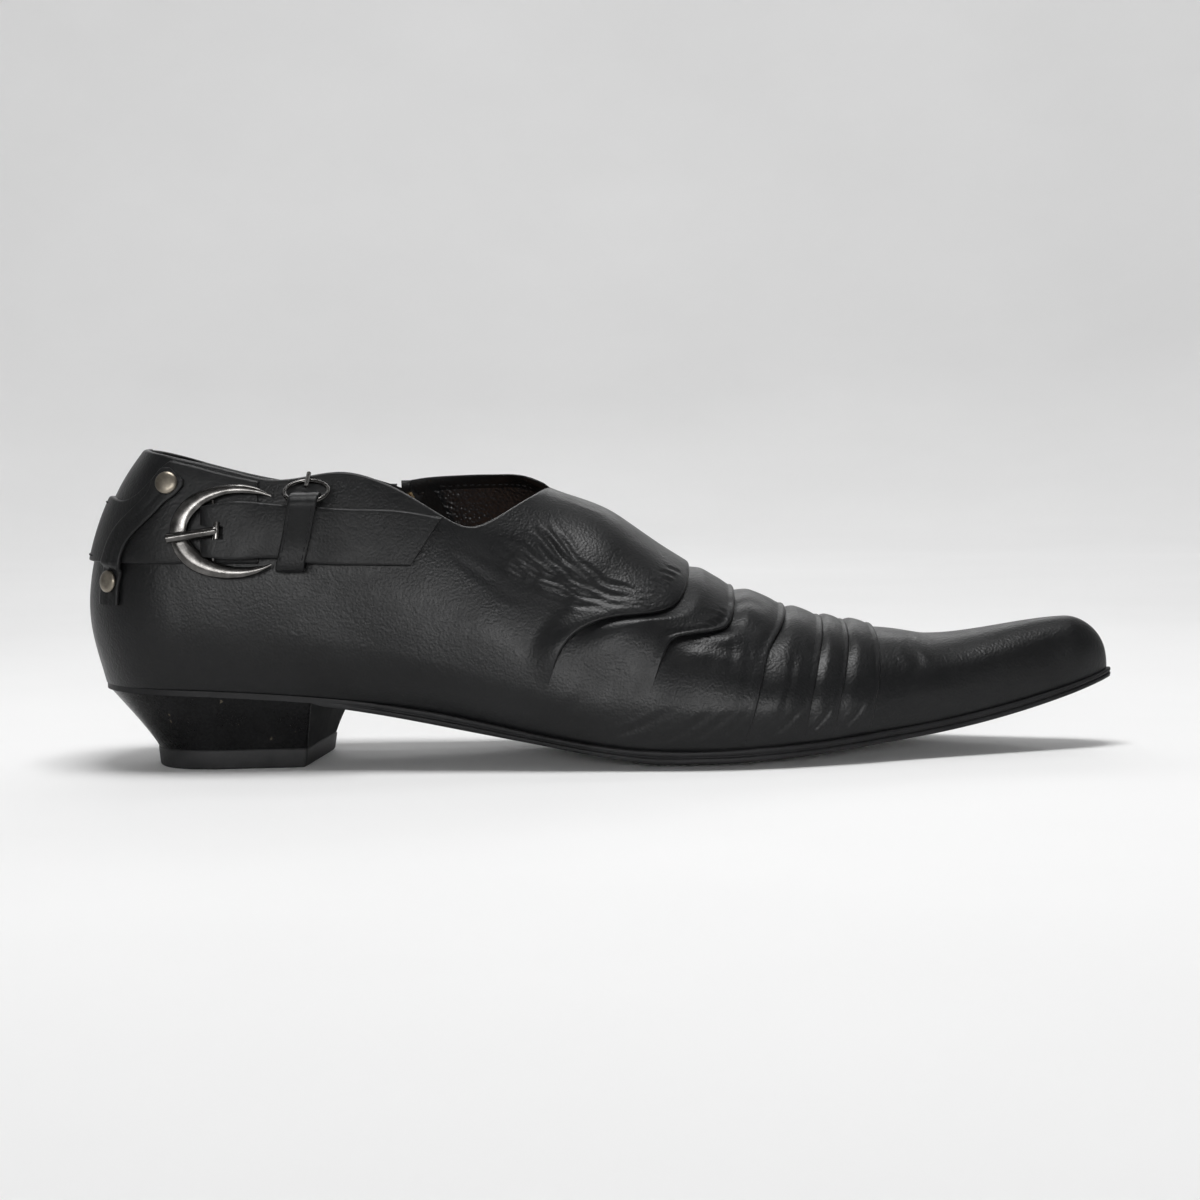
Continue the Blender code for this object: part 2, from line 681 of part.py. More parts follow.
# Back keeper: a narrow strip across the band, riveted at both ends
KEEPER_COLUMNS = ("share", "x", "z")
KEEPER_ROWS = ((0.0, 30.0, 82.6), (0.085, 27.8, 80.0), (0.232, 24.2, 75.2), (0.39, 19.4, 70.4),
               (0.536, 15.2, 65.8), (0.648, 13.1, 61.5), (0.745, 12.0, 57.5), (0.841, 10.9, 53.6),
               (1.0, 10.2, 46.8))
KEEPER_HALF = 2.6
KEEPER_THICK = 1.1
KEEPER_DROP = (0.735, 0.775)
KEEPER_STEP = 0.01
KEEPER_HEAD = (0.1, 0.22)
KEEPER_HEAD_SWELL = 0.45
KEEPER_END = 0.05
KEEPER_END_ROUND = 0.6
RIVET_RADIUS = 3.1
RIVET_HEIGHT = 1.7
RIVET_SHARES = (0.085, 0.85)
RIVET_SIDES = 14
# Rivet head: shares of its radius and of its height
RIVET_ROWS = ((0.92, 0.0), (1.0, 0.25), (0.82, 0.65), (0.45, 0.93))

# Buckle: its middle on the side wall, and the half-lengths of its open loop
BUCKLE_CENTRE = (47.0, 66.7)
BUCKLE_OFF = 4.0
BUCKLE_HALF_LONG = 16.0
BUCKLE_HALF_TALL = 11.3
BUCKLE_OPEN_ANGLE = 55.0
BUCKLE_WIDE = 5.0
BUCKLE_TIP_WIDE = 1.2
BUCKLE_THICK = 2.6
BUCKLE_TIP_THICK = 1.4
BUCKLE_SECTION = ((0.5, -0.25), (0.5, 0.15), (0.22, 0.5), (-0.22, 0.5),
                  (-0.5, 0.15), (-0.5, -0.25), (0, -0.5))
PRONG_ENDS = ((42.0, 66.6, 6.9), (28.0, 64.6, 6.9))
PRONG_RADII = (1.05, 0.9)
# Rods with rounded ends: share of the length, and of the radius
ROD_ROWS = ((0.0, 0.6), (0.06, 1.0), (0.94, 1.0), (1.0, 0.6))
SQUARE = ((-0.5, -0.5), (0.5, -0.5), (0.5, 0.5), (-0.5, 0.5))
BAR_X = 40.3
BAR_SIZE = 1.0

# Buckle strap: stand-off of its outer face, and its edges, from the fold at the bar to the tail
STRAP_THICK = 1.2
STRAP_COLUMNS = ("x", "off", "low", "high")
STRAP_ROWS = ((38.0, 6.2, 60.8, 72.6), (46.0, 6.3, 59.8, 74.2), (56.0, 6.1, 59.2, 74.0),
              (64.0, 5.6, 58.0, 73.3), (75.0, 3.0, 57.0, 72.2), (90.0, 1.8, 56.6, 71.4),
              (102.0, 1.7, 56.4, 69.2))
STRAP_RETURN_END = 51.0
STRAP_RETURN_OFF = 2.0
STRAP_RETURN_THICK = 0.9
STRAP_STATIONS = (102.0, 96.0, 90.0, 82.0, 75.0, 69.0, 64.0, 60.0, 56.0, 51.0, 46.0, 42.0, 39.6)
STRAP_FOLD_OUTER = ((37.6, 5.5), (36.7, 4.2), (37.6, 2.8), (39.6, STRAP_RETURN_OFF))
STRAP_FOLD_INNER = ((38.8, 3.4), (38.3, 4.1), (38.7, 4.8))
STRAP_SHARES = (0.0, 0.06, 0.35, 0.65, 0.94, 1.0)
STRAP_EDGE_INSET = 0.25
STRAP_SLANT_FROM = 78.0
STRAP_SLANT = 8.5
SLOT_Z = 66.4
SLOT_HALF = 1.7
SLOT_SECTION = ((35.0, 2.0), (43.4, 3.5), (43.4, 9.0), (35.0, 9.0))

# Narrow keeper strap round the buckle strap, and its small round buckle
LOOP_X = 63.6
LOOP_LEAN = 0.25
LOOP_HALF = 3.9
LOOP_THICK = 1.0
LOOP_LEVELS = (56.6, 74.6)
LOOP_MIDDLE = 66.0
RING_CENTRE = (66.0, 77.0)
RING_OFF = 6.2
RING_RADIUS = 5.9
RING_TUBE = 0.65
RING_TILT = 62.0
PIN_RADIUS = 0.6
PIN_REACH = (0.5, RING_RADIUS + 2.0)

# Zip: layers behind the slit, teeth, slider, pull tab and stops
TAPE_HALF = 6.4
TAPE_THICK = 0.7
GUARD_HALF = 9.0
GUARD_THICK = 1.0
GUARD_RISE = 3.5
TEETH_HALF = 1.9
SLIDER_DROP = 9.0
SLIDER_HALF = 2.8
SLIDER_LONG = 8.0
SLIDER_TOP = 1.2
HOOK_HALF = 1.0
HOOK_PROFILE = ((3.3, 0.6), (3.3, 4.0), (-1.6, 4.0), (-1.6, 1.7),
                (-0.8, 1.7), (-0.8, 3.2), (2.3, 3.2), (2.3, 0.6))
TEETH_DEPTH = 0.4
STOP_BELOW_TOP = 0.3
PULL_WIDE = 4.6
PULL_LONG = 11.0
PULL_BAR = 0.9
PULL_THICK = 1.1
PULL_OFF = 2.2
PULL_ALONG = 0.7
STOP_SIZE = (1.9, 2.6, 1.9)


def shell_point(station, z, side, offset):
    """Point on the rear wall by station round the shoe and height, moved out by offset."""
    if station < 1:
        return heel_point(station, z, side, offset)
    return wall_point(HEEL_X + (station - 1) * STATION_LENGTH, z, side, offset)


def side_point(x, z, side, offset):
    """Point on the rear wall by x and height, also round the back of the heel."""
    if x >= HEEL_X:
        return wall_point(x, z, side, offset)
    reach = np.clip((HEEL_X - x) / (HEEL_X - BACK_X(z)), 0, 1)
    turn = math.acos(float(reach) ** (HEEL_ROUND / 2)) * 2 / math.pi
    return heel_point(turn, z, side, offset)


def slab(solid, inner, outer):
    """A closed plate between two grids of points."""
    rows, columns = len(inner), len(inner[0])
    for i in range(rows - 1):
        for j in range(columns - 1):
            solid.face(outer[i][j], outer[i + 1][j], outer[i + 1][j + 1], outer[i][j + 1])
            solid.face(inner[i][j], inner[i][j + 1], inner[i + 1][j + 1], inner[i + 1][j])
        for j in (0, columns - 1):
            solid.face(inner[i][j], inner[i + 1][j], outer[i + 1][j], outer[i][j])
    for i in (0, rows - 1):
        for j in range(columns - 1):
            solid.face(inner[i][j], outer[i][j], outer[i][j + 1], inner[i][j + 1])


def unit(vector):
    vector = np.asarray(vector, float)
    return vector / np.linalg.norm(vector)


def local_frame(x, z, side, offset, reach=5.0):
    """Origin and axes on the wall: along +x, upward and outward."""
    origin = wall_point(x, z, side, offset)
    along = unit(wall_point(x + reach, z, side, offset) - wall_point(x - reach, z, side, offset))
    up = wall_point(x, z + reach, side, offset) - wall_point(x, z - reach, side, offset)
    up = unit(up - along * np.dot(up, along))
    out = np.cross(along, up)
    if out[1] * side < 0:
        out = -out
    return origin, along, up, out


def make_heel_band(material):
    """Wide strap from the buckle round the back to the zip."""
    lateral = table_curves(BAND_COLUMNS, BAND_LATERAL)
    medial = table_curves(BAND_COLUMNS, BAND_MEDIAL)
    stations = [(station, LATERAL) for station in BAND_LATERAL_STATIONS]
    stations += [(station, MEDIAL) for station in (*BAND_MEDIAL_STATIONS, None)]
    inner, outer = [], []
    for station, side in stations:
        curves = lateral if side == LATERAL else medial
        at = BAND_MEDIAL[-1][0] if station is None else station
        low, high = float(curves["low"](at)), float(curves["high"](at))
        levels = np.linspace(low, high, 5)
        lines = []
        for offset in (GAP, GAP + BAND_THICK):
            line = []
            for z in levels:
                if station is None:
                    line.append(wall_point(zip_edge_x(z) - BAND_ZIP_GAP, z, side, offset))
                else:
                    line.append(shell_point(station, z, side, offset))
            lines.append(line)
        inner.append(lines[0])
        outer.append(lines[1])
    solid = Solid()
    slab(solid, inner, outer)
    return make_object("heel_band", solid, material)


def zip_edge_x(z):
    """x of the slit's rear edge at a height on the inner side."""
    x = ZIP_TOP[1]
    for _ in range(20):
        share = (z - LAST["feather"](x)) / (LAST["crest"](x) - LAST["feather"](x))
        x = float(zip_x(share, -ZIP_HALF))
    return x


def keeper_offset(t):
    """Stand-off of the back keeper along its length: over the band, then down onto the upper."""
    return GAP + (BAND_THICK + GAP) * float(1 - smooth(t, *KEEPER_DROP))


def keeper_place(t):
    """x and height of the back keeper's middle at a share of its length."""
    curves = table_curves(KEEPER_COLUMNS, KEEPER_ROWS)
    return np.array([float(curves[name](t)) for name in ("x", "z")])


def keeper_across(t):
    """Direction across the back keeper, square to its middle line."""
    dx, dz = keeper_place(min(t + KEEPER_STEP, 1.0)) - keeper_place(max(t - KEEPER_STEP, 0.0))
    return unit((-dz, dx))


def keeper_half(t):
    """Half-width of the back keeper: wider round its upper rivet, with rounded corners."""
    head = 1 - float(smooth(t, *KEEPER_HEAD))
    corner = 1 - float(smooth(t, 0.0, KEEPER_END))
    return KEEPER_HALF * (1 + KEEPER_HEAD_SWELL * head - KEEPER_END_ROUND * corner)


def make_back_keeper(material):
    """Narrow strip from below the collar over the band to the counter."""
    inner, outer = [], []
    for t in sorted([*np.linspace(0, 1, 17), *KEEPER_DROP]):
        middle, across, half = keeper_place(t), keeper_across(t), keeper_half(t)
        places = [middle + across * reach for reach in (-half, 0.0, half)]
        lines = []
        for lift in (0.0, KEEPER_THICK):
            offset = keeper_offset(t) + lift
            lines.append([side_point(x, z, LATERAL, offset) for x, z in places])
        inner.append(lines[0])
        outer.append(lines[1])
    solid = Solid()
    slab(solid, inner, outer)
    return make_object("back_keeper", solid, material)


def make_rivet(name, t, material):
    """Domed rivet on the back keeper."""
    x, z = keeper_place(t)
    reach = RIVET_RADIUS
    offset = keeper_offset(t) + KEEPER_THICK + GAP
    centre = side_point(x, z, LATERAL, offset)
    right = unit(side_point(x + reach, z, LATERAL, offset) - side_point(x - reach, z, LATERAL, offset))
    up = side_point(x, z + reach, LATERAL, offset) - side_point(x, z - reach, LATERAL, offset)
    up = unit(up - right * np.dot(up, right))
    out = np.cross(right, up)
    if out[1] > 0:
        out = -out
    solid = Solid()
    rings = []
    for radius, height in RIVET_ROWS:
        ring = []
        for angle in np.linspace(0, 2 * math.pi, RIVET_SIDES, endpoint=False):
            flat = right * math.cos(angle) + up * math.sin(angle)
            ring.append(centre + flat * radius * RIVET_RADIUS + out * height * RIVET_HEIGHT)
        rings.append(ring)
    solid.rings(rings)
    return make_object(name, solid, material)


def buckle_axes():
    return local_frame(BUCKLE_CENTRE[0], BUCKLE_CENTRE[1], LATERAL, BUCKLE_OFF)


def buckle_place(x, z, off):
    """Point in the buckle's plane by x, height and stand-off from the wall."""
    origin, along, up, out = buckle_axes()
    return origin + along * (x - BUCKLE_CENTRE[0]) + up * (z - BUCKLE_CENTRE[1]) + out * (off - BUCKLE_OFF)


def make_buckle_frame(material):
    """Open horseshoe loop, widest at its closed end, with a bar between its arms."""
    solid = Solid()
    origin, along, up, out = buckle_axes()
    rings = []
    for angle in np.radians(np.linspace(BUCKLE_OPEN_ANGLE, 360 - BUCKLE_OPEN_ANGLE, 27)):
        closed = (1 - math.cos(angle)) / 2
        wide = BUCKLE_TIP_WIDE + (BUCKLE_WIDE - BUCKLE_TIP_WIDE) * float(smooth(closed, 0.6, 1.0))
        thick = BUCKLE_TIP_THICK + (BUCKLE_THICK - BUCKLE_TIP_THICK) * float(smooth(closed, 0.15, 0.8))
        radial = unit(along * math.cos(angle) * BUCKLE_HALF_TALL + up * math.sin(angle) * BUCKLE_HALF_LONG)
        middle = origin + along * BUCKLE_HALF_LONG * math.cos(angle) + up * BUCKLE_HALF_TALL * math.sin(angle)
        ring = []
        for a, b in BUCKLE_SECTION:
            ring.append(middle + radial * a * wide + out * b * thick)
        rings.append(ring)
    solid.rings(rings)
    frame = make_object("buckle_frame", solid, material, 50)
    bar = Solid()
    reach = BUCKLE_HALF_TALL * math.sqrt(1 - ((BAR_X - BUCKLE_CENTRE[0]) / BUCKLE_HALF_LONG) ** 2)
    ends = []
    for height in (BUCKLE_CENTRE[1] - reach, BUCKLE_CENTRE[1] + reach):
        ends.append([buckle_place(BAR_X + a * BAR_SIZE, height, BUCKLE_OFF + b * BAR_SIZE)
                     for a, b in SQUARE])
    bar.rings(ends)
    tool = make_object("buckle_bar_tool", bar, material)
    join(frame, tool, "UNION")
    return frame


def join(obj, tool, operation):
    """Unite an object with a tool body, or cut it by one; the tool stays as a hidden guide."""
    tool.hide_render = True
    tool.display_type = "WIRE"
    modifier = obj.modifiers.new(tool.name, "BOOLEAN")
    modifier.operation = operation
    modifier.object = tool
    modifier.solver = "EXACT"


def make_rod(name, start, end, radii, material, sides=8):
    """Straight tapered rod with softly rounded ends."""
    axis = unit(end - start)
    first = unit(np.cross(axis, (0.0, 0.2, 1.0)))
    second = np.cross(axis, first)
    solid = Solid()
    rings = []
    for t, scale in ROD_ROWS:
        radius = (radii[0] + (radii[1] - radii[0]) * t) * scale
        middle = start + (end - start) * t
        rings.append([middle + (first * math.cos(a) + second * math.sin(a)) * radius
                      for a in np.linspace(0, 2 * math.pi, sides, endpoint=False)])
    solid.rings(rings)
    return make_object(name, solid, material)


def make_buckle_prong(material):
    """Prong from the bar, over the strap's slot, resting on the closed end of the loop."""
    start, end = (buckle_place(*place) for place in PRONG_ENDS)
    return make_rod("buckle_prong", start, end, PRONG_RADII, material)


def strap_outline():
    """The strap's thickness, seen from above: x and stand-off round its fold, tail and short return."""
    curve = table_curves(STRAP_COLUMNS, STRAP_ROWS)["off"]
    inside = STRAP_RETURN_OFF + STRAP_RETURN_THICK
    outline = [(x, float(curve(x))) for x in STRAP_STATIONS]
    outline += STRAP_FOLD_OUTER
    outline += [(STRAP_RETURN_END, STRAP_RETURN_OFF), (STRAP_RETURN_END, inside), (BAR_X, inside)]
    outline += STRAP_FOLD_INNER
    outline += [(x, float(curve(x)) - STRAP_THICK) for x in STRAP_STATIONS[-2::-1]]
    return outline


def make_buckle_strap(material):
    """Strap folded round the buckle's bar, lying down on the upper towards its slanted tail."""
    curves = table_curves(STRAP_COLUMNS, STRAP_ROWS)
    solid = Solid()
    rings = []
    for v in STRAP_SHARES:
        inset = STRAP_EDGE_INSET if v in (0.0, 1.0) else 0.0
        ring = []
        for x, off in strap_outline():
            share = max(0.0, (x - STRAP_SLANT_FROM) / (STRAP_ROWS[-1][0] - STRAP_SLANT_FROM))
            place = x - STRAP_SLANT * (1 - v) * share
            z = float(curves["low"](x)) + (float(curves["high"](x)) - float(curves["low"](x))) * v
            outer = float(curves["off"](x))
            middle = (outer + max(outer - STRAP_THICK, GAP)) / 2 if x > STRAP_RETURN_END else off
            ring.append(wall_point(place, z, LATERAL, off + (middle - off) * inset))
        rings.append(ring)
    solid.rings(rings)
    strap = make_object("buckle_strap", solid, material)
    slot = Solid()
    ends = []
    for height in (SLOT_Z - SLOT_HALF, SLOT_Z + SLOT_HALF):
        ends.append([buckle_place(x, height, off) for x, off in SLOT_SECTION])
    slot.rings(ends)
    join(strap, make_object("strap_slot_tool", slot, material), "DIFFERENCE")
    return strap


def loop_path():
    """Height and stand-off of the keeper strap's inner and outer face, once round the buckle strap."""
    low, high = LOOP_LEVELS
    middle = LOOP_MIDDLE
    face = float(table_curves(STRAP_COLUMNS, STRAP_ROWS)["off"](LOOP_X)) + GAP
    back = GAP + LOOP_THICK
    inner = [(low + 1.5, back), (middle, back), (high - 1.5, back), (high, 2.0), (high + 0.3, 3.6),
             (high - 0.2, face - 0.4), (high - 1.4, face + 0.2), (middle, face + 0.3),
             (low + 1.4, face + 0.2), (low + 0.2, face - 0.4), (low - 0.3, 3.6), (low, 2.0)]
    outer = [(low + 1.3, GAP), (middle, GAP), (high - 1.3, GAP), (high + 1.0, 1.3), (high + 1.4, 3.6),
             (high + 0.8, face + 0.5), (high - 1.0, face + 1.3), (middle, face + 1.4),
             (low + 1.0, face + 1.3), (low - 0.8, face + 0.5), (low - 1.4, 3.6), (low - 1.0, 1.3)]
    return inner, outer


def make_keeper_strap(material):
    """Closed loop of narrow strap, leaning back as it goes down."""
    solid = Solid()
    rings = []
    for inner, outer in zip(*loop_path()):
        middle = LOOP_X + (inner[0] - LOOP_MIDDLE) * LOOP_LEAN
        rear, front = middle - LOOP_HALF, middle + LOOP_HALF
        corners = ((rear, inner), (front, inner), (front, outer), (rear, outer))
        rings.append([wall_point(x, z, LATERAL, off) for x, (z, off) in corners])
    solid.rings(rings + rings[:1], capped=False)
    return make_object("keeper_strap", solid, material)


def ring_axes():
    centre = wall_point(RING_CENTRE[0], RING_CENTRE[1], LATERAL, RING_OFF)
    tilt = math.radians(RING_TILT)
    normal = np.array([0.0, -math.cos(tilt), math.sin(tilt)])
    return centre, np.array([1.0, 0.0, 0.0]), np.cross(normal, (1.0, 0.0, 0.0)), normal


def make_ring_buckle(material):
    """Small round buckle lying on the keeper strap's upper turn."""
    centre, right, across, normal = ring_axes()
    solid = Solid()
    rings = []
    for angle in np.linspace(0, 2 * math.pi, 22, endpoint=False):
        radial = right * math.cos(angle) + across * math.sin(angle)
        middle = centre + radial * RING_RADIUS
        rings.append([middle + (radial * math.cos(a) + normal * math.sin(a)) * RING_TUBE
                      for a in np.linspace(0, 2 * math.pi, 6, endpoint=False)])
    solid.rings(rings + rings[:1], capped=False)
    return make_object("ring_buckle", solid, material)


def make_ring_prong(material):
    """Small prong across the ring's inner half."""
    centre, right, across, normal = ring_axes()
    lift = normal * (RING_TUBE + PIN_RADIUS + GAP)
    inward = across if across[1] > 0 else -across
    start, end = (centre + lift + inward * reach for reach in PIN_REACH)
    return make_rod("ring_prong", start, end, (PIN_RADIUS, PIN_RADIUS), material, 6)


def zip_frame():
    """Origin on the wall at the slider, and axes: up the zip, across it towards the toe, and outward."""
    top = collar_share(lambda share: zip_x(share), MEDIAL)

    def on_zip(share):
        return section_point(np.float64(zip_x(share)), share, MEDIAL)

    height = float(LAST["crest"](ZIP_TOP[1]) - LAST["feather"](ZIP_TOP[1]))
    share = top - SLIDER_DROP / height
    origin = on_zip(share)
    along = unit(on_zip(share + 0.03) - on_zip(share - 0.03))
    forward = wall_point(origin[0] + 3, origin[2], MEDIAL) - wall_point(origin[0] - 3, origin[2], MEDIAL)
    across = unit(forward - along * np.dot(forward, along))
    out = np.cross(along, across)
    if out[1] < 0:
        out = -out
    return origin, along, across, out, share, top


def zip_layer(name, half, depth, thick, low, high, rise, material, columns=5, rows=9):
    """A strip behind or in the slit, following the wall at a depth below its outer face."""
    inner, outer = [], []
    for k, share in enumerate(np.linspace(low, high, rows)):
        lines = []
        for offset in (-depth - thick, -depth):
            line = []
            for v in np.linspace(-1, 1, columns):
                x = float(zip_x(share, v * half))
                p = np.array(section_point(np.float64(x), share, MEDIAL))
                level = p[2]
                if k == rows - 1:
                    level += rise * (1 - abs(v) ** 2)
                line.append(wall_point(x, level, MEDIAL, offset))
            lines.append(line)
        inner.append(lines[0])
        outer.append(lines[1])
    solid = Solid()
    slab(solid, inner, outer)
    return make_object(name, solid, material)


def box_at(axes, lows, highs):
    """Solid box in a local frame: lows and highs along, across and outward."""
    origin, along, across, out = axes
    solid = Solid()
    corners = ((lows[1], lows[2]), (highs[1], lows[2]), (highs[1], highs[2]), (lows[1], highs[2]))
    rings = []
    for a in (lows[0], highs[0]):
        rings.append([origin + along * a + across * b + out * c for b, c in corners])
    solid.rings(rings)
    return solid


def make_zip(tape_material, metal, gold, leather):
    """Tape, guard, teeth, slider with its hook, stops, and the pull tab that swings on the hook."""
    origin, along, across, out, share, top = zip_frame()
    axes = (origin, along, across, out)
    slit_foot = FOOT_SHARE * top
    foot = slit_foot - 0.01
    behind = WALL + 1.6 * GAP
    zip_layer("zip_tape", TAPE_HALF, behind, TAPE_THICK, foot, top - 0.01, 0.0, tape_material)
    guard_depth = behind + TAPE_THICK + GAP
    zip_layer("zip_guard", GUARD_HALF, guard_depth, GUARD_THICK, foot, top - 0.005, GUARD_RISE, leather)
    height = float(LAST["crest"](ZIP_TOP[1]) - LAST["feather"](ZIP_TOP[1]))
    below = share - (SLIDER_LONG / 2 + 2 * GAP) / height
    teeth_thick = behind - TEETH_DEPTH - GAP
    zip_layer("zip_teeth", TEETH_HALF, TEETH_DEPTH, teeth_thick, slit_foot + 0.012, below, 0.0, metal, 3)

    half_long = SLIDER_LONG / 2
    body = box_at(axes, (-half_long, -SLIDER_HALF, -WALL), (half_long, SLIDER_HALF, SLIDER_TOP))
    slider = make_object("zip_slider", body, metal)
    hook = Solid()
    hook.rings([[origin + along * a + across * side * HOOK_HALF + out * c for a, c in HOOK_PROFILE]
                for side in (-1, 1)])
    join(slider, make_object("zip_hook_tool", hook, metal), "UNION")

    for name, side in (("zip_stop_front", 1), ("zip_stop_rear", -1)):
        wide, long, thick = STOP_SIZE
        middle = side * (ZIP_HALF - 2 * GAP - wide / 2)
        high = SLIDER_DROP - STOP_BELOW_TOP
        lows = (high - long, middle - wide / 2, -WALL)
        make_object(name, box_at(axes, lows, (high, middle + wide / 2, -WALL + thick)), gold)

    pivot = origin + along * PULL_ALONG + out * PULL_OFF
    pull_frame = (np.zeros(3), along, across, out)
    ring_lows = (-PULL_LONG + PULL_BAR / 2, -PULL_WIDE / 2, -PULL_THICK / 2)
    ring_highs = (PULL_BAR / 2, PULL_WIDE / 2, PULL_THICK / 2)
    pull = make_object("zip_pull", box_at(pull_frame, ring_lows, ring_highs), metal)
    window_lows = (ring_lows[0] + 1.5 * PULL_BAR, ring_lows[1] + PULL_BAR, -PULL_THICK)
    window_highs = (-PULL_BAR / 2, ring_highs[1] - PULL_BAR, PULL_THICK)
    window = make_object("pull_window_tool", box_at(pull_frame, window_lows, window_highs), metal)
    join(pull, window, "DIFFERENCE")
    for piece in (pull, window):
        piece.location = [v * MILLIMETRE for v in pivot]


def stand_on_origin():
    """Shift the whole shoe so that the origin is on the floor under the middle of its box."""
    pieces = [obj for obj in FRAME.children if not obj.hide_render]
    places = np.array([obj.location + vertex.co for obj in pieces for vertex in obj.data.vertices])
    middle = (places.min(axis=0) + places.max(axis=0)) / 2
    FRAME.location = (-middle[0], -middle[1], 0.0)


for old in list(bpy.data.objects):
    bpy.data.objects.remove(old, do_unlink=True)

FRAME = bpy.data.objects.new("shoe_frame", None)
bpy.context.scene.collection.objects.link(FRAME)

LEATHER = make_material("upper_leather", (0.012, 0.012, 0.013), 0.38)
SOLE_LEATHER = make_material("sole_leather", (0.018, 0.018, 0.02), 0.45)
HEEL_GLOSS = make_material("heel_gloss", (0.010, 0.010, 0.011), 0.22)
LIFT_RUBBER = make_material("toplift_rubber", (0.03, 0.03, 0.033), 0.6)
SOCK_LEATHER = make_material("insole_leather", (0.42, 0.25, 0.13), 0.55)
STRAP_LEATHER = make_material("strap_leather", (0.014, 0.014, 0.015), 0.4)
NICKEL = make_material("dark_nickel", (0.36, 0.35, 0.34), 0.28, 1.0)
ZIP_TAPE = make_material("zip_tape", (0.012, 0.012, 0.012), 0.85)
ZIP_METAL = make_material("black_metal", (0.02, 0.02, 0.021), 0.3, 0.6)
STOP_BRASS = make_material("stop_brass", (0.72, 0.52, 0.27), 0.3, 1.0)

make_upper(LEATHER)
make_outsole(SOLE_LEATHER)
make_insole(SOCK_LEATHER)
make_heel(HEEL_GLOSS, LIFT_RUBBER)
make_heel_band(STRAP_LEATHER)
make_back_keeper(STRAP_LEATHER)
make_rivet("rivet_upper", RIVET_SHARES[0], NICKEL)
make_rivet("rivet_lower", RIVET_SHARES[1], NICKEL)
make_buckle_frame(NICKEL)
make_buckle_prong(NICKEL)
make_buckle_strap(STRAP_LEATHER)
make_keeper_strap(STRAP_LEATHER)
make_ring_buckle(NICKEL)
make_ring_prong(NICKEL)
make_zip(ZIP_TAPE, ZIP_METAL, STOP_BRASS, LEATHER)
stand_on_origin()
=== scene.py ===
"""Looks of the pleated right shoe: leather with folds and creases, lining, sole, heel, straps and zip.

The tables are in millimetres from the back of the heel (x), the heel-to-toe line (y) and the floor (z).
"""
import math

import bmesh
import bpy
import numpy as np
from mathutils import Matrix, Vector


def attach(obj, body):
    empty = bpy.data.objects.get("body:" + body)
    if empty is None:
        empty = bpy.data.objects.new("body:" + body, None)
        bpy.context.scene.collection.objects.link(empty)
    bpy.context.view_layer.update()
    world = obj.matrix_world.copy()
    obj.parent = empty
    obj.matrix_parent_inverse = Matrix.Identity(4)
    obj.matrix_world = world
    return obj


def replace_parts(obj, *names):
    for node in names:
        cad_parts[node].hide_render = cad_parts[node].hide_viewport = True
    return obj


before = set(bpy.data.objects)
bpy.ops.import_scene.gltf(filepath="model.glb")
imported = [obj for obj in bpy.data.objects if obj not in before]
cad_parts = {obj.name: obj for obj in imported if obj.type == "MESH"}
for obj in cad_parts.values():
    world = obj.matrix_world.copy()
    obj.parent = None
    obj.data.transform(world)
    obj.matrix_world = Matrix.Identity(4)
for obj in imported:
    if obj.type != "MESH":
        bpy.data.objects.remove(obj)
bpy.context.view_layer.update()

# Driving dimensions, in millimetres
MILLIMETRE = 0.001
MERGE_DISTANCE = 2e-6
SHORTEST_EDGE = 1e-7
ORIGIN = np.array([145.264, 0.063, 0.0])
WALL = 1.8
HEEL_X = 30.0
NOSE_X = 277.0
UPPER_TIP_X = 289.2
HEEL_ROUND = 2.15
NOSE_ROUND = 2.0
NOSE_REACH_ROUND = 2.6
SOLE_LIP = 1.1
SEAT_LIP = 0.4
SEAT_FOOT = 22.0
SEAT_LEVEL = 24.0
BREAST_X = 70.2
BREAST_SLANT = 0.148
SEAT_THICK = 1.6
TOPLIFT_HEIGHT = 5.5
LATERAL = -1
MEDIAL = 1
SIDES = (LATERAL, MEDIAL)

# One row for each section of the last
SECTION_COLUMNS = ("x", "feather", "crest", "lateral", "medial",
                   "lateral_foot", "medial_foot", "widest", "dome")
SECTIONS = (
    (0.0, 24.2, 118.0, 29.0, 29.0, 25.5, 25.5, 20.0, 2.0),
    (30.0, 22.9, 118.0, 29.5, 29.5, 25.8, 25.6, 20.0, 2.0),
    (66.0, 20.3, 116.0, 31.0, 29.5, 26.0, 23.5, 18.0, 2.0),
    (100.0, 15.6, 100.0, 34.5, 29.5, 27.5, 19.5, 15.0, 1.9),
    (131.0, 9.0, 76.4, 38.0, 32.5, 33.0, 24.5, 13.0, 1.8),
    (148.0, 6.3, 69.6, 39.5, 35.0, 36.5, 29.5, 12.0, 1.75),
    (165.0, 5.2, 56.3, 40.5, 38.0, 38.5, 34.5, 11.0, 1.75),
    (190.0, 5.9, 42.6, 39.0, 41.0, 37.5, 38.8, 10.0, 1.8),
    (206.0, 6.8, 37.5, 35.0, 40.0, 33.5, 38.5, 9.0, 1.85),
    (222.0, 8.4, 34.6, 29.5, 35.5, 28.0, 34.0, 8.5, 1.9),
    (240.0, 10.5, 32.9, 22.5, 27.0, 21.3, 25.6, 8.0, 2.0),
    (256.0, 13.3, 34.5, 17.2, 19.6, 16.2, 18.6, 7.5, 2.1),
    (277.0, 18.3, 37.1, 10.4, 11.0, 9.6, 10.2, 6.5, 2.2),
    (291.0, 22.4, 36.6, 6.6, 6.4, 6.0, 5.8, 6.0, 2.2),
)
SOLE_COLUMNS = ("x", "bottom", "camber")
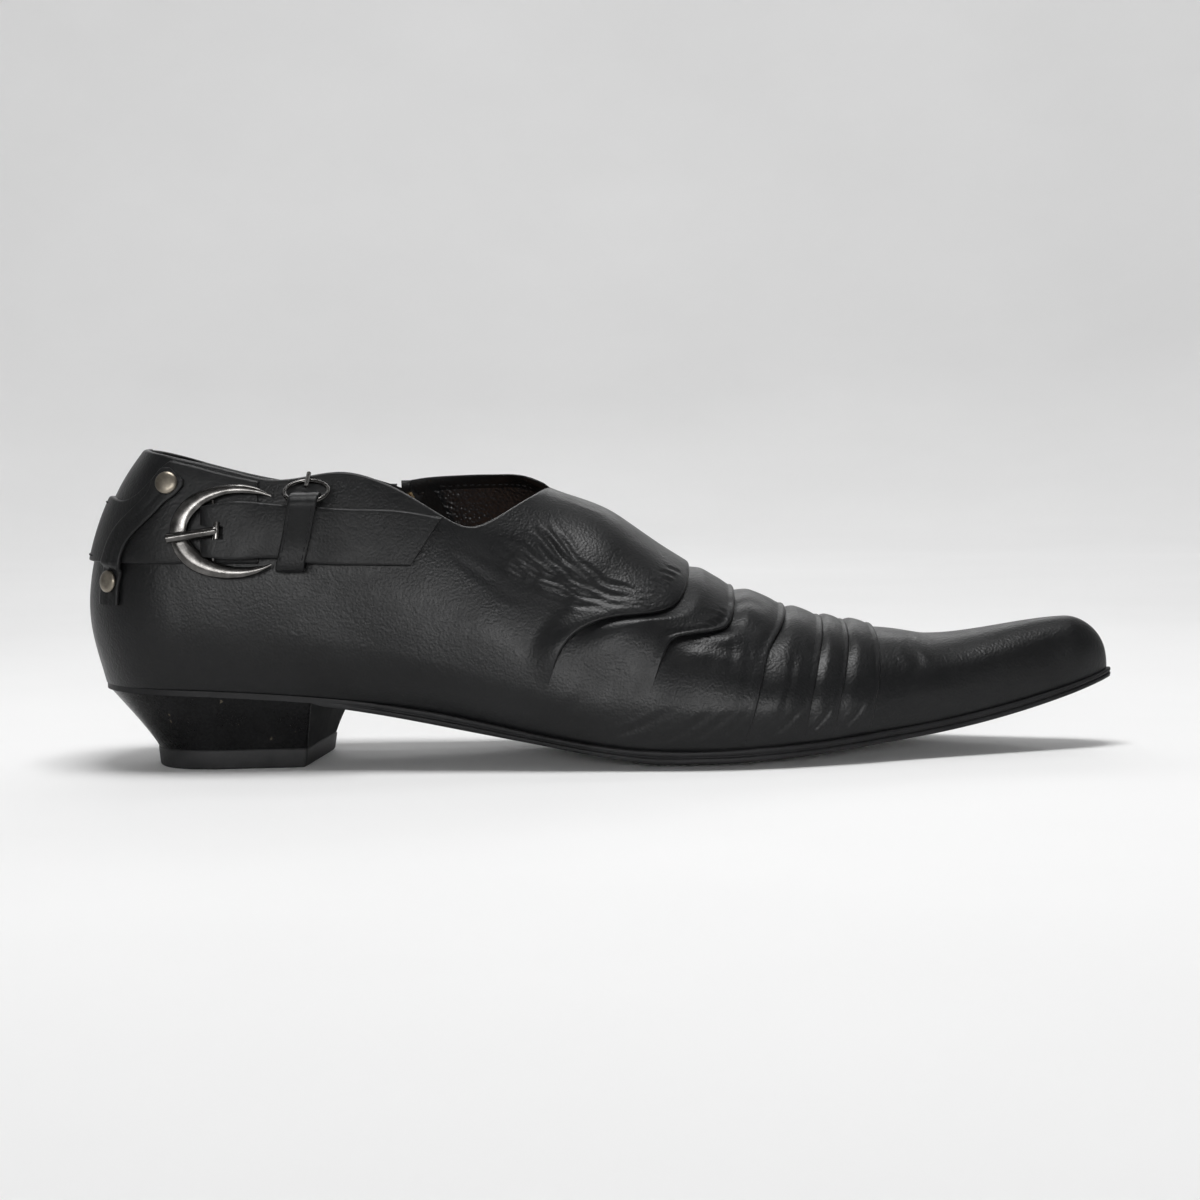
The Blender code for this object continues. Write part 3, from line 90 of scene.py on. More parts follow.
SOLE_ROWS = (
    (66.0, 18.0, 0.2), (85.0, 14.6, 0.4), (105.0, 10.4, 0.7), (131.0, 5.0, 1.2), (148.0, 1.6, 1.6),
    (160.0, 0.0, 1.7), (180.0, 0.0, 1.8), (200.0, 1.5, 1.5), (222.0, 4.2, 1.0), (240.0, 6.6, 0.7),
    (256.0, 9.6, 0.6), (274.0, 14.2, 0.5), (291.0, 20.0, 0.2),
)
FLAT_SPOT = (158.0, 182.0)
BACK_COLUMNS = ("z", "x")
BACK_ROWS = ((22.0, 4.6), (34.0, 1.3), (46.0, 0.0), (58.0, 1.7), (70.0, 5.4), (82.0, 11.6), (93.0, 20.0))
COLLAR_COLUMNS = ("x", "lateral", "medial")
COLLAR_ROWS = (
    (14.0, 89.4, 89.4), (28.0, 86.6, 85.2), (44.0, 82.5, 80.8), (58.0, 79.8, 78.2), (75.0, 81.6, 77.3),
    (84.0, 79.4, 77.6), (93.0, 74.9, 79.0), (102.0, 69.2, 79.6), (110.0, 66.0, 79.8), (116.0, 68.0, 79.8),
    (124.0, 72.6, 79.3), (131.0, 76.4, 76.4),
)

# Folds of the vamp: x at these shares of the height on the outer side, sweep and bow on the inner side
FOLD_SHARES = (0.0, 0.25, 0.5, 0.6, 0.7, 0.85, 1.0)
FOLD_COLUMNS = ("lateral", "sweep", "bow", "height", "fade_from", "fade_to")
FOLDS = (
    ((126.0, 131.0, 142.0, 153.7, 162.0, 167.5, 169.5), 32.0, 1.2, 1.9, 0.20, 0.40),
    ((154.0, 157.5, 161.6, 165.5, 175.0, 180.7, 182.0), 26.0, 1.3, 1.9, 0.26, 0.56),
    ((182.5, 185.5, 188.0, 189.0, 190.3, 193.7, 196.5), 20.0, 1.4, 1.9, 0.00, 0.25),
    ((198.8, 200.4, 202.3, 203.2, 204.0, 205.4, 206.8), 16.0, 1.4, 1.5, 0.00, 0.25),
    ((207.3, 208.5, 210.3, 211.1, 211.9, 212.8, 213.6), 13.5, 1.4, 1.4, 0.00, 0.25),
    ((217.5, 218.7, 220.2, 220.8, 221.2, 221.5, 221.3), 11.5, 1.4, 1.3, 0.00, 0.25),
)
THROAT_GUIDE = {LATERAL: (112.0, 114.0, 118.0, 120.0, 122.5, 126.5, 131.0),
                MEDIAL: (127.0, 127.4, 128.2, 128.6, 129.2, 130.2, 131.0)}
REAR_GUIDE_X = 60.0
TOE_GUIDE = (236.0, 237.5, 238.0)
ZIP_TOP = (0.62, 88.5)
ZIP_FOOT = (0.10, 116.0)
ZIP_HALF = 3.3
ZIP_SPREAD = 1.28

# Overlap of a fold: how far its lip rolls forward, and how deep the leather goes back under it
LIP_PROFILE = ((0.30, 0.97), (0.55, 0.84), (0.66, 0.62), (0.52, 0.42), (0.05, 0.28), (-0.6, 0.16))
LIP_UNDER = 1.1
PLEAT_CROWN = (0.0, 0.45, 0.7, 0.7, 0.65, 0.65, 0.55)
PLEAT_CROWN_END = 0.92
PLEAT_FLAT = 0.6
PLEAT_FLAT_SPAN = (0.6, 0.95)
PLEAT_FIRST = (0.55, 1.0)
PLEAT_RISE = (0.0, 0.45)
PLEAT_DIP = 0.16
PLEAT_DIP_SPAN = (0.75, 1.0)
PLEAT_LIP_SPAN = (0.94, 1.0)
CROWN_SPAN = (0.62, 0.95)
FLAP_FOLDS = 2
MEDIAL_FADE = (0.0, 0.25)
TOE_COUNTS = (22, 34)
VAMP_COUNTS = {LATERAL: (124, 26, 22, 18, 16, 16), MEDIAL: (40, 20, 18, 15, 13, 13)}

# Rows of the skin
FOOT_ROWS = 16
DOME_ROWS = 84
FOOT_SHARE = 0.25
HEEL_COUNTS = (28, 24)
LATERAL_COUNT = 92
MEDIAL_COUNTS = (26, 34)
BACK_SEAM = (0.25, 0.035)
RIM_PROFILE = ((0.15, 0.22), (0.5, 0.42), (0.9, 0.48), (1.3, 0.42), (1.65, 0.22), (1.8, 0.0), (1.85, -2.0),
               (1.9, -4.2))


class Curve:
    """Natural cubic through the knots of one table column, level beyond its ends."""

    def __init__(self, knots, values):
        self.knots = np.array(knots, float)
        self.values = np.array(values, float)
        step = np.diff(self.knots)
        count = len(self.knots)
        matrix = np.eye(count)
        right = np.zeros(count)
        for i in range(1, count - 1):
            matrix[i, i - 1:i + 2] = step[i - 1], 2 * (step[i - 1] + step[i]), step[i]
            slope_after = (self.values[i + 1] - self.values[i]) / step[i]
            slope_before = (self.values[i] - self.values[i - 1]) / step[i - 1]
            right[i] = 6 * (slope_after - slope_before)
        self.bend = np.linalg.solve(matrix, right)

    def __call__(self, at):
        at = np.clip(np.asarray(at, float), self.knots[0], self.knots[-1])
        i = np.clip(np.searchsorted(self.knots, at) - 1, 0, len(self.knots) - 2)
        step = self.knots[i + 1] - self.knots[i]
        b = (at - self.knots[i]) / step
        a = 1 - b
        cubic = (a ** 3 - a) * self.bend[i] + (b ** 3 - b) * self.bend[i + 1]
        return a * self.values[i] + b * self.values[i + 1] + cubic * step ** 2 / 6


def table_curves(columns, rows):
    """A curve for each named column of a table, over its first column."""
    knots = [row[0] for row in rows]
    return {name: Curve(knots, [row[i] for row in rows]) for i, name in enumerate(columns) if i}


LAST = table_curves(SECTION_COLUMNS, SECTIONS)
SOLE = table_curves(SOLE_COLUMNS, SOLE_ROWS)
COLLAR = table_curves(COLLAR_COLUMNS, COLLAR_ROWS)
BACK_X = table_curves(BACK_COLUMNS, BACK_ROWS)["x"]


def smooth(value, low, high):
    """0 below low, 1 above high, and an even rise between."""
    t = np.clip((np.asarray(value, float) - low) / (high - low), 0, 1)
    return t * t * (3 - 2 * t)


def side_name(side):
    return "lateral" if side == LATERAL else "medial"


def unit(vector):
    vector = np.asarray(vector, float)
    return vector / np.maximum(np.linalg.norm(vector, axis=-1, keepdims=True), 1e-9)


# The last, as in the solids

def half_width(x, rise, side, offset=0.0):
    """Half-width of the section at x, at a height above the feather line."""
    foot = LAST[side_name(side) + "_foot"](x) + offset
    full = LAST[side_name(side)](x) + offset
    widest = LAST["widest"](x)
    top = LAST["crest"](x) + offset - LAST["feather"](x)
    below = foot + (full - foot) * (1 - (1 - np.clip(rise / widest, 0, 1)) ** 2)
    share = np.clip((rise - widest) / (top - widest), 0, 1)
    above = full * np.sqrt(np.clip(1 - share ** LAST["dome"](x), 0, 1))
    return np.where(rise < widest, below, above)


def section_point(x, share, side, offset=0.0):
    """Point of the last at x, at a share of the height from feather line to crest."""
    feather = LAST["feather"](x)
    rise = share * (LAST["crest"](x) + offset - feather)
    return np.stack([x + 0 * rise, side * half_width(x, rise, side, offset), feather + rise], axis=-1)


def heel_point(turn, z, side, offset=0.0):
    """Point of the heel's round back: turn 0 at the back seam, 1 at the heel section."""
    back = BACK_X(z) - offset
    angle = np.clip(turn, 0, 1) * math.pi / 2
    width = half_width(HEEL_X, z - LAST["feather"](HEEL_X), side, offset)
    x = HEEL_X - (HEEL_X - back) * np.cos(angle) ** (2 / HEEL_ROUND)
    return np.stack([x, side * width * np.sin(angle) ** (2 / HEEL_ROUND), z + 0 * x], axis=-1)


def nose_point(turn, share, side, offset=0.0):
    """Point of the round toe: turn 0 at the last full section, 1 at the tip."""
    reach = (UPPER_TIP_X + offset - NOSE_X) * np.sqrt(np.clip(1 - share ** NOSE_REACH_ROUND, 0, 1))
    angle = turn * math.pi / 2
    x = NOSE_X + reach * np.sin(angle) ** (2 / NOSE_ROUND)
    feather = LAST["feather"](x)
    rise = share * (LAST["crest"](x) + offset - feather)
    width = half_width(x, rise, side, offset) * np.cos(angle) ** (2 / NOSE_ROUND)
    return np.stack([x, side * width, feather + rise], axis=-1)


def wall_point(x, z, side, offset=0.0):
    """Point of the side wall at a given x and height, ahead of the heel section."""
    width = half_width(x, z - LAST["feather"](x), side, offset)
    return np.stack([x + 0 * width, side * width, z + 0 * width], axis=-1)


def side_point(x, z, side, offset=0.0):
    """Point on the rear wall by x and height, also round the back of the heel."""
    x = np.asarray(x, float)
    z = np.asarray(z, float) + 0 * x
    reach = np.clip((HEEL_X - x) / (HEEL_X - BACK_X(z)), 0, 1)
    turn = np.arccos(reach ** (HEEL_ROUND / 2)) * 2 / math.pi
    round_back = heel_point(turn, z, side, offset)
    return np.where((x < HEEL_X)[..., None], round_back, wall_point(np.maximum(x, HEEL_X), z, side, offset))


def plan_width(x, side, inset=0.0):
    """Half-width of the feather outline at x, round at heel and toe, moved in by inset."""
    foot = LAST[side_name(side) + "_foot"]
    back = BACK_X(SEAT_FOOT) + inset
    tip = UPPER_TIP_X - inset
    x = np.asarray(x, float)
    middle = foot(np.maximum(x, HEEL_X)) - inset
    heel = np.clip(1 - np.clip((HEEL_X - x) / (HEEL_X - back), 0, 1) ** HEEL_ROUND, 0, 1) ** (1 / HEEL_ROUND)
    nose = np.clip(1 - np.clip((x - NOSE_X) / (tip - NOSE_X), 0, 1) ** NOSE_ROUND, 0, 1) ** (1 / NOSE_ROUND)
    return middle * heel * nose


GUIDE_SHARES = (0.0, 0.5, 1.0)
FOLD_ROWS = [dict(zip(FOLD_COLUMNS, fold)) for fold in FOLDS]
COLLAR_SEARCH = (0.3, 1.0)
SEARCH_ROUNDS = 40
HEEL_COLLAR_START = 86.0


def upright(x):
    """A guide that stays at one x all the way up."""
    return Curve(GUIDE_SHARES, (x, x, x))


def level_at(x, share):
    """Height at x of a share of the way from the feather line to the crest."""
    return LAST["feather"](x) + share * (LAST["crest"](x) - LAST["feather"](x))


def guide_lines(side):
    """x of each guide as a curve of the share of height: rear, throat, folds and toe."""
    lines = {"rear": upright(REAR_GUIDE_X), "throat": Curve(FOLD_SHARES, THROAT_GUIDE[side])}
    for number, row in enumerate(FOLD_ROWS):
        places = row["lateral"]
        if side == MEDIAL:
            places = [places[-1] - row["sweep"] * (1 - share) ** row["bow"] for share in FOLD_SHARES]
        lines[number] = Curve(FOLD_SHARES, places)
    lines["toe"] = Curve(GUIDE_SHARES, TOE_GUIDE)
    return lines


GUIDES = {side: guide_lines(side) for side in SIDES}


def zip_x(share, across=0.0):
    """x on the zip at a share of the height, a distance across from its middle."""
    slope = (ZIP_FOOT[1] - ZIP_TOP[1]) / (ZIP_FOOT[0] - ZIP_TOP[0])
    return ZIP_TOP[1] + slope * (share - ZIP_TOP[0]) + across * ZIP_SPREAD


def zip_line(across):
    """The zip's line, a distance across from its middle."""
    return lambda share: zip_x(share, across)


def fold_left(number, share, side):
    """Share of a fold's height that is left at a share of the shoe's height."""
    row = FOLD_ROWS[number]
    flat = 1.0 if number < FLAP_FOLDS else PLEAT_FLAT + (1 - PLEAT_FLAT) * smooth(share, *PLEAT_FLAT_SPAN)
    fade = (row["fade_from"], row["fade_to"]) if side == LATERAL else MEDIAL_FADE
    return flat * smooth(share, *fade)


def fold_strength(number, share, side):
    """What is left of a fold's height at a share of the shoe's height."""
    return FOLD_ROWS[number]["height"] * fold_left(number, share, side)


def collar_share(line, side):
    """Share of the height at which a rear column meets the collar's edge."""
    low, high = COLLAR_SEARCH
    for _ in range(SEARCH_ROUNDS):
        middle = (low + high) / 2
        x = float(line(middle))
        if level_at(x, middle) > COLLAR[side_name(side)](x):
            high = middle
        else:
            low = middle
    return low


def heel_collar(turn, side):
    """Height of the collar's edge at a turn round the heel's back."""
    top = HEEL_COLLAR_START
    for _ in range(SEARCH_ROUNDS):
        top = float(COLLAR[side_name(side)](heel_point(turn, top, side)[0]))
    return top


# Creases, placed on the outer side: x and z of the start and the end, bow, half-width and depth
CREASES = (
    (141.0, 8.0, 157.0, 13.6, 0.6, 0.6, 0.40), (147.0, 9.5, 166.0, 18.5, 0.8, 0.7, 0.45),
    (159.0, 7.6, 174.0, 16.2, 0.8, 0.7, 0.50), (168.0, 8.2, 180.0, 16.5, 0.7, 0.7, 0.50),
    (175.0, 8.6, 183.5, 16.0, 0.5, 0.6, 0.42), (190.0, 9.0, 199.0, 17.0, 0.6, 0.6, 0.50),
    (201.0, 9.6, 207.0, 16.5, 0.5, 0.6, 0.48), (210.0, 10.2, 217.0, 18.0, 0.5, 0.6, 0.48),
    (176.5, 15.0, 180.5, 35.0, 0.9, 0.7, 0.22), (182.0, 17.0, 185.0, 34.0, 0.6, 0.6, 0.22),
    (171.0, 16.0, 174.5, 33.0, 0.6, 0.7, 0.20), (193.0, 15.0, 197.5, 31.0, 0.5, 0.6, 0.26),
    (166.0, 33.5, 184.0, 29.5, -1.0, 1.4, 0.26), (174.0, 38.0, 190.0, 34.5, -0.9, 1.2, 0.26),
    (179.0, 43.0, 192.0, 39.0, -0.8, 1.0, 0.22), (128.0, 12.5, 139.0, 21.5, 0.8, 1.2, 0.24),
    (104.0, 60.0, 121.0, 50.0, 1.0, 1.0, 0.08), (108.0, 57.0, 127.0, 45.0, 1.2, 1.2, 0.08),
    (230.5, 32.5, 234.0, 25.0, 0.6, 1.5, 0.30), (131.5, 75.4, 148.5, 68.7, 0.0, 0.45, 0.40),
)

# Fine wrinkles of the flap: they start spread along its edge, sag, and meet at the first fold's corner
WRINKLE_COUNT = 7
WRINKLE_FROM = ((131.0, 68.0), (109.5, 62.0))
WRINKLE_TO = ((158.5, 46.5), (151.5, 41.2))
WRINKLE_SAG = (4.2, 2.4)
WRINKLE_WIDTH = 0.66
WRINKLE_DEPTH = 0.40
WRINKLE_SHORT = (0.62, 0.1)
WRINKLE_UNEVEN = {"sag": 0.06, "depth": 0.35}
WRINKLE_WAVE = 0.3

# Short puckers across a fold's edge: its ends, how many, the way they run and their depth
PUCKERS = (
    ((166.6, 50.5), (157.0, 42.2), 9, (-3.9, 2.2), 0.26),
    ((179.6, 39.5), (173.0, 33.8), 7, (-3.2, 1.5), 0.20),
)
PUCKER_SHIFT = (0.8, -0.2)
PUCKER_BOW = 0.3
PUCKER_WIDTH = 0.34
PUCKER_UNEVEN = 0.35

# Softer creases of the inner side, across the ball and behind the folds: how many, start of the first, step
# to the next, how far they run, and their bow, half-width and depth
BALL_CREASES = (9, (128.0, 9.5), 10.5, (9.0, 9.0), (0.7, 0.9, 0.32))
BALL_UNEVEN = (0.4, 2.0, 2.5)
FLANK_CREASES = (6, (131.0, 62.0), (3.4, -4.6), (9.0, -9.0), (0.8, 0.8, 0.28))
FLANK_WAVE = 0.4

# A trough's own shape: how quickly it waves, where it fades in and out, and the height of its ridges
TROUGH_WAVE = 0.62
TROUGH_FADE = (0.22, 0.7)
TROUGH_RIDGE = 0.45

# Where the creases and the unevenness calm down: at the sole, the crest, the toe and the nose
SOLE_CALM = (0.0, 0.06)
CREST_CALM = (0.93, 0.995)
CREST_MEET = (0.8, 1.0)
TOE_CALM = (232.0, 255.0)
TOE_CALM_SHARE = 0.6
NOSE_CALM = (262.0, 276.0)
NOSE_SOLE_CALM = (0.0, 0.1)
NOSE_UNEVEN = 0.25
NOSE_UNEVEN_X = 280.0
NOSE_LEVELS = (18.0, 36.0)


def trough(x, z, start, end, bow, width, depth, wave=0.0, phase=0.0, stop=1.0):
    """A soft trough with a low ridge on either side, along a bowed line that fades at both ends."""
    dx, dz = end[0] - start[0], end[1] - start[1]
    length = math.hypot(dx, dz)
    t = ((x - start[0]) * dx + (z - start[1]) * dz) / length ** 2
    away = ((x - start[0]) * dz - (z - start[1]) * dx) / length
    away = away - bow * 4 * t * (1 - t) - wave * np.sin(t * length * TROUGH_WAVE + phase)
    fade = smooth(t, 0.0, TROUGH_FADE[0] * stop) * (1 - smooth(t, TROUGH_FADE[1] * stop, stop))
    dip = np.exp(-(away / width) ** 2)
    ridge = np.exp(-((np.abs(away) - 2 * width) / width) ** 2)
    return fade * depth * (TROUGH_RIDGE * ridge - dip)


def lerp(a, b, t):
    return tuple(p + (q - p) * t for p, q in zip(a, b))


def lateral_creases(x, z):
    """All creases, wrinkles and puckers of the outer side."""
    total = np.zeros(np.shape(x))
    for x0, z0, x1, z1, bow, width, depth in CREASES:
        total += trough(x, z, (x0, z0), (x1, z1), bow, width, depth)
    for i in range(WRINKLE_COUNT):
        t = i / (WRINKLE_COUNT - 1)
        start, end = lerp(*WRINKLE_FROM, t), lerp(*WRINKLE_TO, t)
        long = 1.0 if i % 2 == 0 else WRINKLE_SHORT[0] + WRINKLE_SHORT[1] * math.sin(2.1 * i)
        sag = np.interp(t, (0, 1), WRINKLE_SAG) * (1 + WRINKLE_UNEVEN["sag"] * math.sin(3.7 * i))
        deep = WRINKLE_DEPTH * (1 + WRINKLE_UNEVEN["depth"] * math.sin(1.7 * i))
        total += trough(x, z, start, end, sag, WRINKLE_WIDTH, deep, WRINKLE_WAVE, 0.9 * i, long)
    for first, last, count, reach, depth in PUCKERS:
        for i in range(count):
            edge = np.array(lerp(first, last, i / (count - 1)))
            tail = edge + np.array(reach) * (1.0 + PUCKER_UNEVEN * math.sin(2.3 * i))
            total += trough(x, z, edge + PUCKER_SHIFT, tail, PUCKER_BOW, PUCKER_WIDTH, depth)
    return total


def medial_creases(x, z):
    """All creases of the inner side."""
    total = np.zeros(np.shape(x))
    count, first, step, reach, shape = BALL_CREASES
    for i in range(count):
        start = (first[0] + step * i, first[1] + BALL_UNEVEN[0] * math.sin(2.0 * i))
        end = (start[0] + reach[0] + BALL_UNEVEN[1] * math.sin(1.3 * i),
               start[1] + reach[1] + BALL_UNEVEN[2] * math.sin(2.7 * i))
        total += trough(x, z, start, end, *shape)
    count, first, step, reach, shape = FLANK_CREASES
    for i in range(count):
        start = np.array(first) + np.array(step) * i
        total += trough(x, z, start, start + reach, *shape, FLANK_WAVE, 1.7 * i)
    return total


def uneven(x, z, side):
    """Gentle unevenness of worn leather."""
    slow = 0.16 * np.sin(x / 12.0 + 1.3 * side) * np.sin(z / 8.5 + 0.4 + x / 41.0)
    quick = 0.06 * np.sin(x / 4.3 + z / 5.9 + side) + 0.05 * np.sin(x / 6.1 - z / 3.7)
    return slow + quick


def relief(x, z, share, side):
    """Height of the leather over the last, apart from the folds; nothing at the sole's edge."""
    creased = lateral_creases(x, z) if side == LATERAL else medial_creases(x, z)
    creased = creased * (1 - smooth(share, *CREST_CALM))
    meet = smooth(share, *CREST_MEET)
    wavy = uneven(x, z, side) * (1 - 0.5 * meet) + uneven(x, z, -side) * 0.5 * meet
    calm = (1 - TOE_CALM_SHARE * smooth(x, *TOE_CALM)) * (1 - smooth(x, *NOSE_CALM) * meet)
    return smooth(share, *SOLE_CALM) * (creased + wavy * calm)


# The leather skin

def row_shares():
    """Shares of the height of the skin's rows, closer together where the section turns fastest."""
    foot = np.linspace(0, FOOT_SHARE, FOOT_ROWS + 1)[:-1]
    turn = np.linspace(0, math.pi / 2, DOME_ROWS)
    return np.concatenate([foot, FOOT_SHARE + (1 - FOOT_SHARE) * np.sin(turn)])


SHARES = row_shares()
SLIT_ROW = FOOT_ROWS


def between(first, second, s):
    """A line a share s of the way from one guide to the next."""
    return lambda share: first(share) * (1 - s) + second(share) * s


def closed_top(points):
    """A column that ends on the crest: its rim rows all lie on its last point."""
    return np.concatenate([points, np.repeat(points[-1:], len(RIM_PROFILE), axis=0)])


def wall_column(line, side):
    """A column of the open rear, from the sole over the collar's edge and down inside."""
    shares = SHARES * collar_share(line, side)
    x = line(shares)
    z = level_at(x, shares)
    outer = section_point(x, shares, side, relief(x, z, shares, side))
    top_x, top_z = float(x[-1]), float(z[-1])
    rim = [wall_point(np.float64(top_x), top_z + up, side, -inward) for inward, up in RIM_PROFILE]
    return np.concatenate([outer, np.array(rim)])


def heel_column(turn, side):
    """A column of the heel's back, from the seat over the collar and down inside."""
    top = heel_collar(turn, side)
    low = LAST["feather"](heel_point(turn, SEAT_LEVEL, side)[0])
    z = low + (top - low) * SHARES
    around = HEEL_X * turn
    seam = BACK_SEAM[0] * math.exp(-(turn / BACK_SEAM[1]) ** 2)
    outer = heel_point(turn, z, side, smooth(SHARES, *SOLE_CALM) * uneven(around * side, z, 1) - seam)
    rim = [heel_point(turn, np.float64(top + up), side, -inward) for inward, up in RIM_PROFILE]
    return np.concatenate([outer, np.array(rim)])


def vamp_column(line, side, swell):
    """A column of the vamp, with the pleats' swell on its outer face."""
    x = line(SHARES)
    z = level_at(x, SHARES)
    return closed_top(section_point(x, SHARES, side, swell(SHARES) + relief(x, z, SHARES, side)))


def nose_column(turn, side):
    """A column of the round toe, whose unevenness fades towards the tip."""
    z = NOSE_LEVELS[0] + (NOSE_LEVELS[1] - NOSE_LEVELS[0]) * SHARES
    calm = smooth(SHARES, *NOSE_SOLE_CALM) * (1 - smooth(SHARES, *CREST_MEET)) * NOSE_UNEVEN
    fine = calm * uneven(NOSE_UNEVEN_X + 0 * z, z, side)
    return closed_top(nose_point(turn, SHARES, side, fine * (1 - turn)))


def pleat(first, s):
    """Swell of the leather from under one fold to the next one's edge."""
    if first:
        return smooth(s, *PLEAT_FIRST)
    dip = PLEAT_DIP * smooth(s, *PLEAT_DIP_SPAN)
    return smooth(s, *PLEAT_RISE) * (1 - dip) + PLEAT_DIP * smooth(s, *PLEAT_LIP_SPAN)


def crown(number, share, s):
    """Round swell of a pleat on top of the foot."""
    return PLEAT_CROWN[number] * np.sin(math.pi * min(s / PLEAT_CROWN_END, 1.0)) * smooth(share, *CROWN_SPAN)


def lip_line(number, ahead, side):
    """A line ahead of a fold's edge, by as much as is left of the fold there."""
    return lambda share: GUIDES[side][number](share) + ahead * fold_left(number, share, side)


def vamp_columns(side):
    """Columns from the throat to the last full section, with the rolled lip of each fold between."""
    guides = GUIDES[side]
    columns = []
    start = guides["throat"]
    for number, count in enumerate(VAMP_COUNTS[side]):
        for s in np.linspace(0, 1, count):
            def swell(share):
                return fold_strength(number, share, side) * pleat(number == 0, s) + crown(number, share, s)
            columns.append(vamp_column(between(start, guides[number], s), side, swell))
        for ahead, level in LIP_PROFILE:
            line = lip_line(number, ahead, side)
            columns.append(vamp_column(line, side, lambda share: level * fold_strength(number, share, side)))
        start = lip_line(number, -LIP_UNDER, side)
    for s in np.linspace(0, 1, TOE_COUNTS[0]):
        line = between(start, guides["toe"], s)
        columns.append(vamp_column(line, side, lambda share: crown(len(FOLDS), share, s)))
    for s in np.linspace(0, 1, TOE_COUNTS[1])[1:]:
        columns.append(vamp_column(between(guides["toe"], upright(NOSE_X), s), side, np.zeros_like))
    return columns


def rear_columns(side):
    """Columns from the back seam to just behind the throat, on the inner side in two runs round the zip."""
    guides = GUIDES[side]

    def run(first, second, places):
        return [wall_column(between(first, second, s), side) for s in places]

    columns = [heel_column(turn, side) for turn in np.linspace(0, 1, HEEL_COUNTS[0])[:-1]]
    columns += run(upright(HEEL_X), guides["rear"], np.linspace(0, 1, HEEL_COUNTS[1]))
    if side == LATERAL:
        return columns + run(guides["rear"], guides["throat"], np.linspace(0, 1, LATERAL_COUNT)[1:-1])
    columns += run(guides["rear"], zip_line(-ZIP_HALF), np.linspace(0, 1, MEDIAL_COUNTS[0])[1:])
    return columns, run(zip_line(ZIP_HALF), guides["throat"], np.linspace(0, 1, MEDIAL_COUNTS[1])[:-1])


# Turned edge of the zip's slit: how far inward and how far over it lies, and its share at the collar's rim
SLIT_RIM = ((0.25, 0.12), (0.9, 0.16), (1.55, 0.12), (1.8, 0.0), (1.9, -2.5))
SLIT_RIM_SHARE = 0.3


def slit_rim(column, direction):
    """Columns that turn the leather's edge in at the zip's slit; below the slit they lie on the column."""
    rims = []
    for inward, shift in SLIT_RIM:
        points = column.copy()
        moved = column[SLIT_ROW + 1:].copy()
        wall = np.arange(len(moved)) < len(SHARES) - SLIT_ROW - 1
        moved[:, 0] += direction * shift
        moved[:, 1] -= np.where(wall, inward, SLIT_RIM_SHARE * inward)
        points[SLIT_ROW + 1:] = moved
        rims.append(points)
    return rims


class Mesh:
    """Collects grids and polygons of one piece, in millimetres, and makes its object."""

    def __init__(self):
        self.points = []
        self.faces = []

    def grid(self, points, wrap=False):
        """Quads over a grid of points; wrap closes it along its first direction."""
        points = np.asarray(points, float)
        rows, columns = points.shape[:2]
        base = sum(len(p) for p in self.points)
        self.points.append(points.reshape(-1, 3))
        ids = base + np.arange(rows * columns).reshape(rows, columns)
        if wrap:
            ids = np.concatenate([ids, ids[:1]])
        quads = np.stack([ids[:-1, :-1], ids[1:, :-1], ids[1:, 1:], ids[:-1, 1:]], axis=-1)
        self.faces += quads.reshape(-1, 4).tolist()

    def fan(self, points):
        """One polygon."""
        points = np.asarray(points, float)
        base = sum(len(p) for p in self.points)
        self.points.append(points)
        self.faces.append(list(range(base, base + len(points))))

    def rings(self, rings, capped=True):
        """A tube through rings of points, with its ends filled."""
        rings = np.asarray(rings, float)
        self.grid(np.transpose(rings, (1, 0, 2)), wrap=True)
        if capped:
            self.fan(rings[0])
            self.fan(rings[-1][::-1])

    def make(self, name, material, slot=None, body="shoe", sharp=40.0):
        """The object, merged, with its faces pointing out, riding on a body."""
        mesh = bpy.data.meshes.new(name)
        points = (np.concatenate(self.points) - ORIGIN) * MILLIMETRE
        mesh.from_pydata(points.tolist(), [], self.faces)
        bm = bmesh.new()
        bm.from_mesh(mesh)
        bmesh.ops.remove_doubles(bm, verts=bm.verts, dist=MERGE_DISTANCE)
        bmesh.ops.dissolve_degenerate(bm, edges=bm.edges, dist=SHORTEST_EDGE)
        bmesh.ops.recalc_face_normals(bm, faces=bm.faces)
        bm.to_mesh(mesh)
        bm.free()
        mesh.shade_smooth()
        mesh.set_sharp_from_angle(angle=math.radians(sharp))
        obj = bpy.data.objects.new(name, mesh)
        mesh.materials.append(material)
        bpy.context.scene.collection.objects.link(obj)
        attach(obj, body)
        return obj


def make_upper_skin(material):
    """The leather of the upper, once round from the zip's front edge to its rear edge."""
    turns = np.linspace(0, 1, 16)
    rear, front = rear_columns(MEDIAL)
    lateral = rear_columns(LATERAL) + vamp_columns(LATERAL) + [nose_column(t, LATERAL) for t in turns[1:]]
    medial = front + vamp_columns(MEDIAL) + [nose_column(t, MEDIAL) for t in turns[1:-1]]
    columns = slit_rim(front[0], 1)[::-1] + medial + lateral[::-1] + rear[1:] + slit_rim(rear[-1], -1)
    skin = Mesh()
    skin.grid(columns)
    low = slice(0, SLIT_ROW + 1)
    skin.grid([rear[-1][low], (rear[-1][low] + front[0][low]) / 2, front[0][low]])
    obj = skin.make("upper_skin", material, "upper_leather", sharp=70.0)
    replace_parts(obj, "upper")
    return obj


# Materials

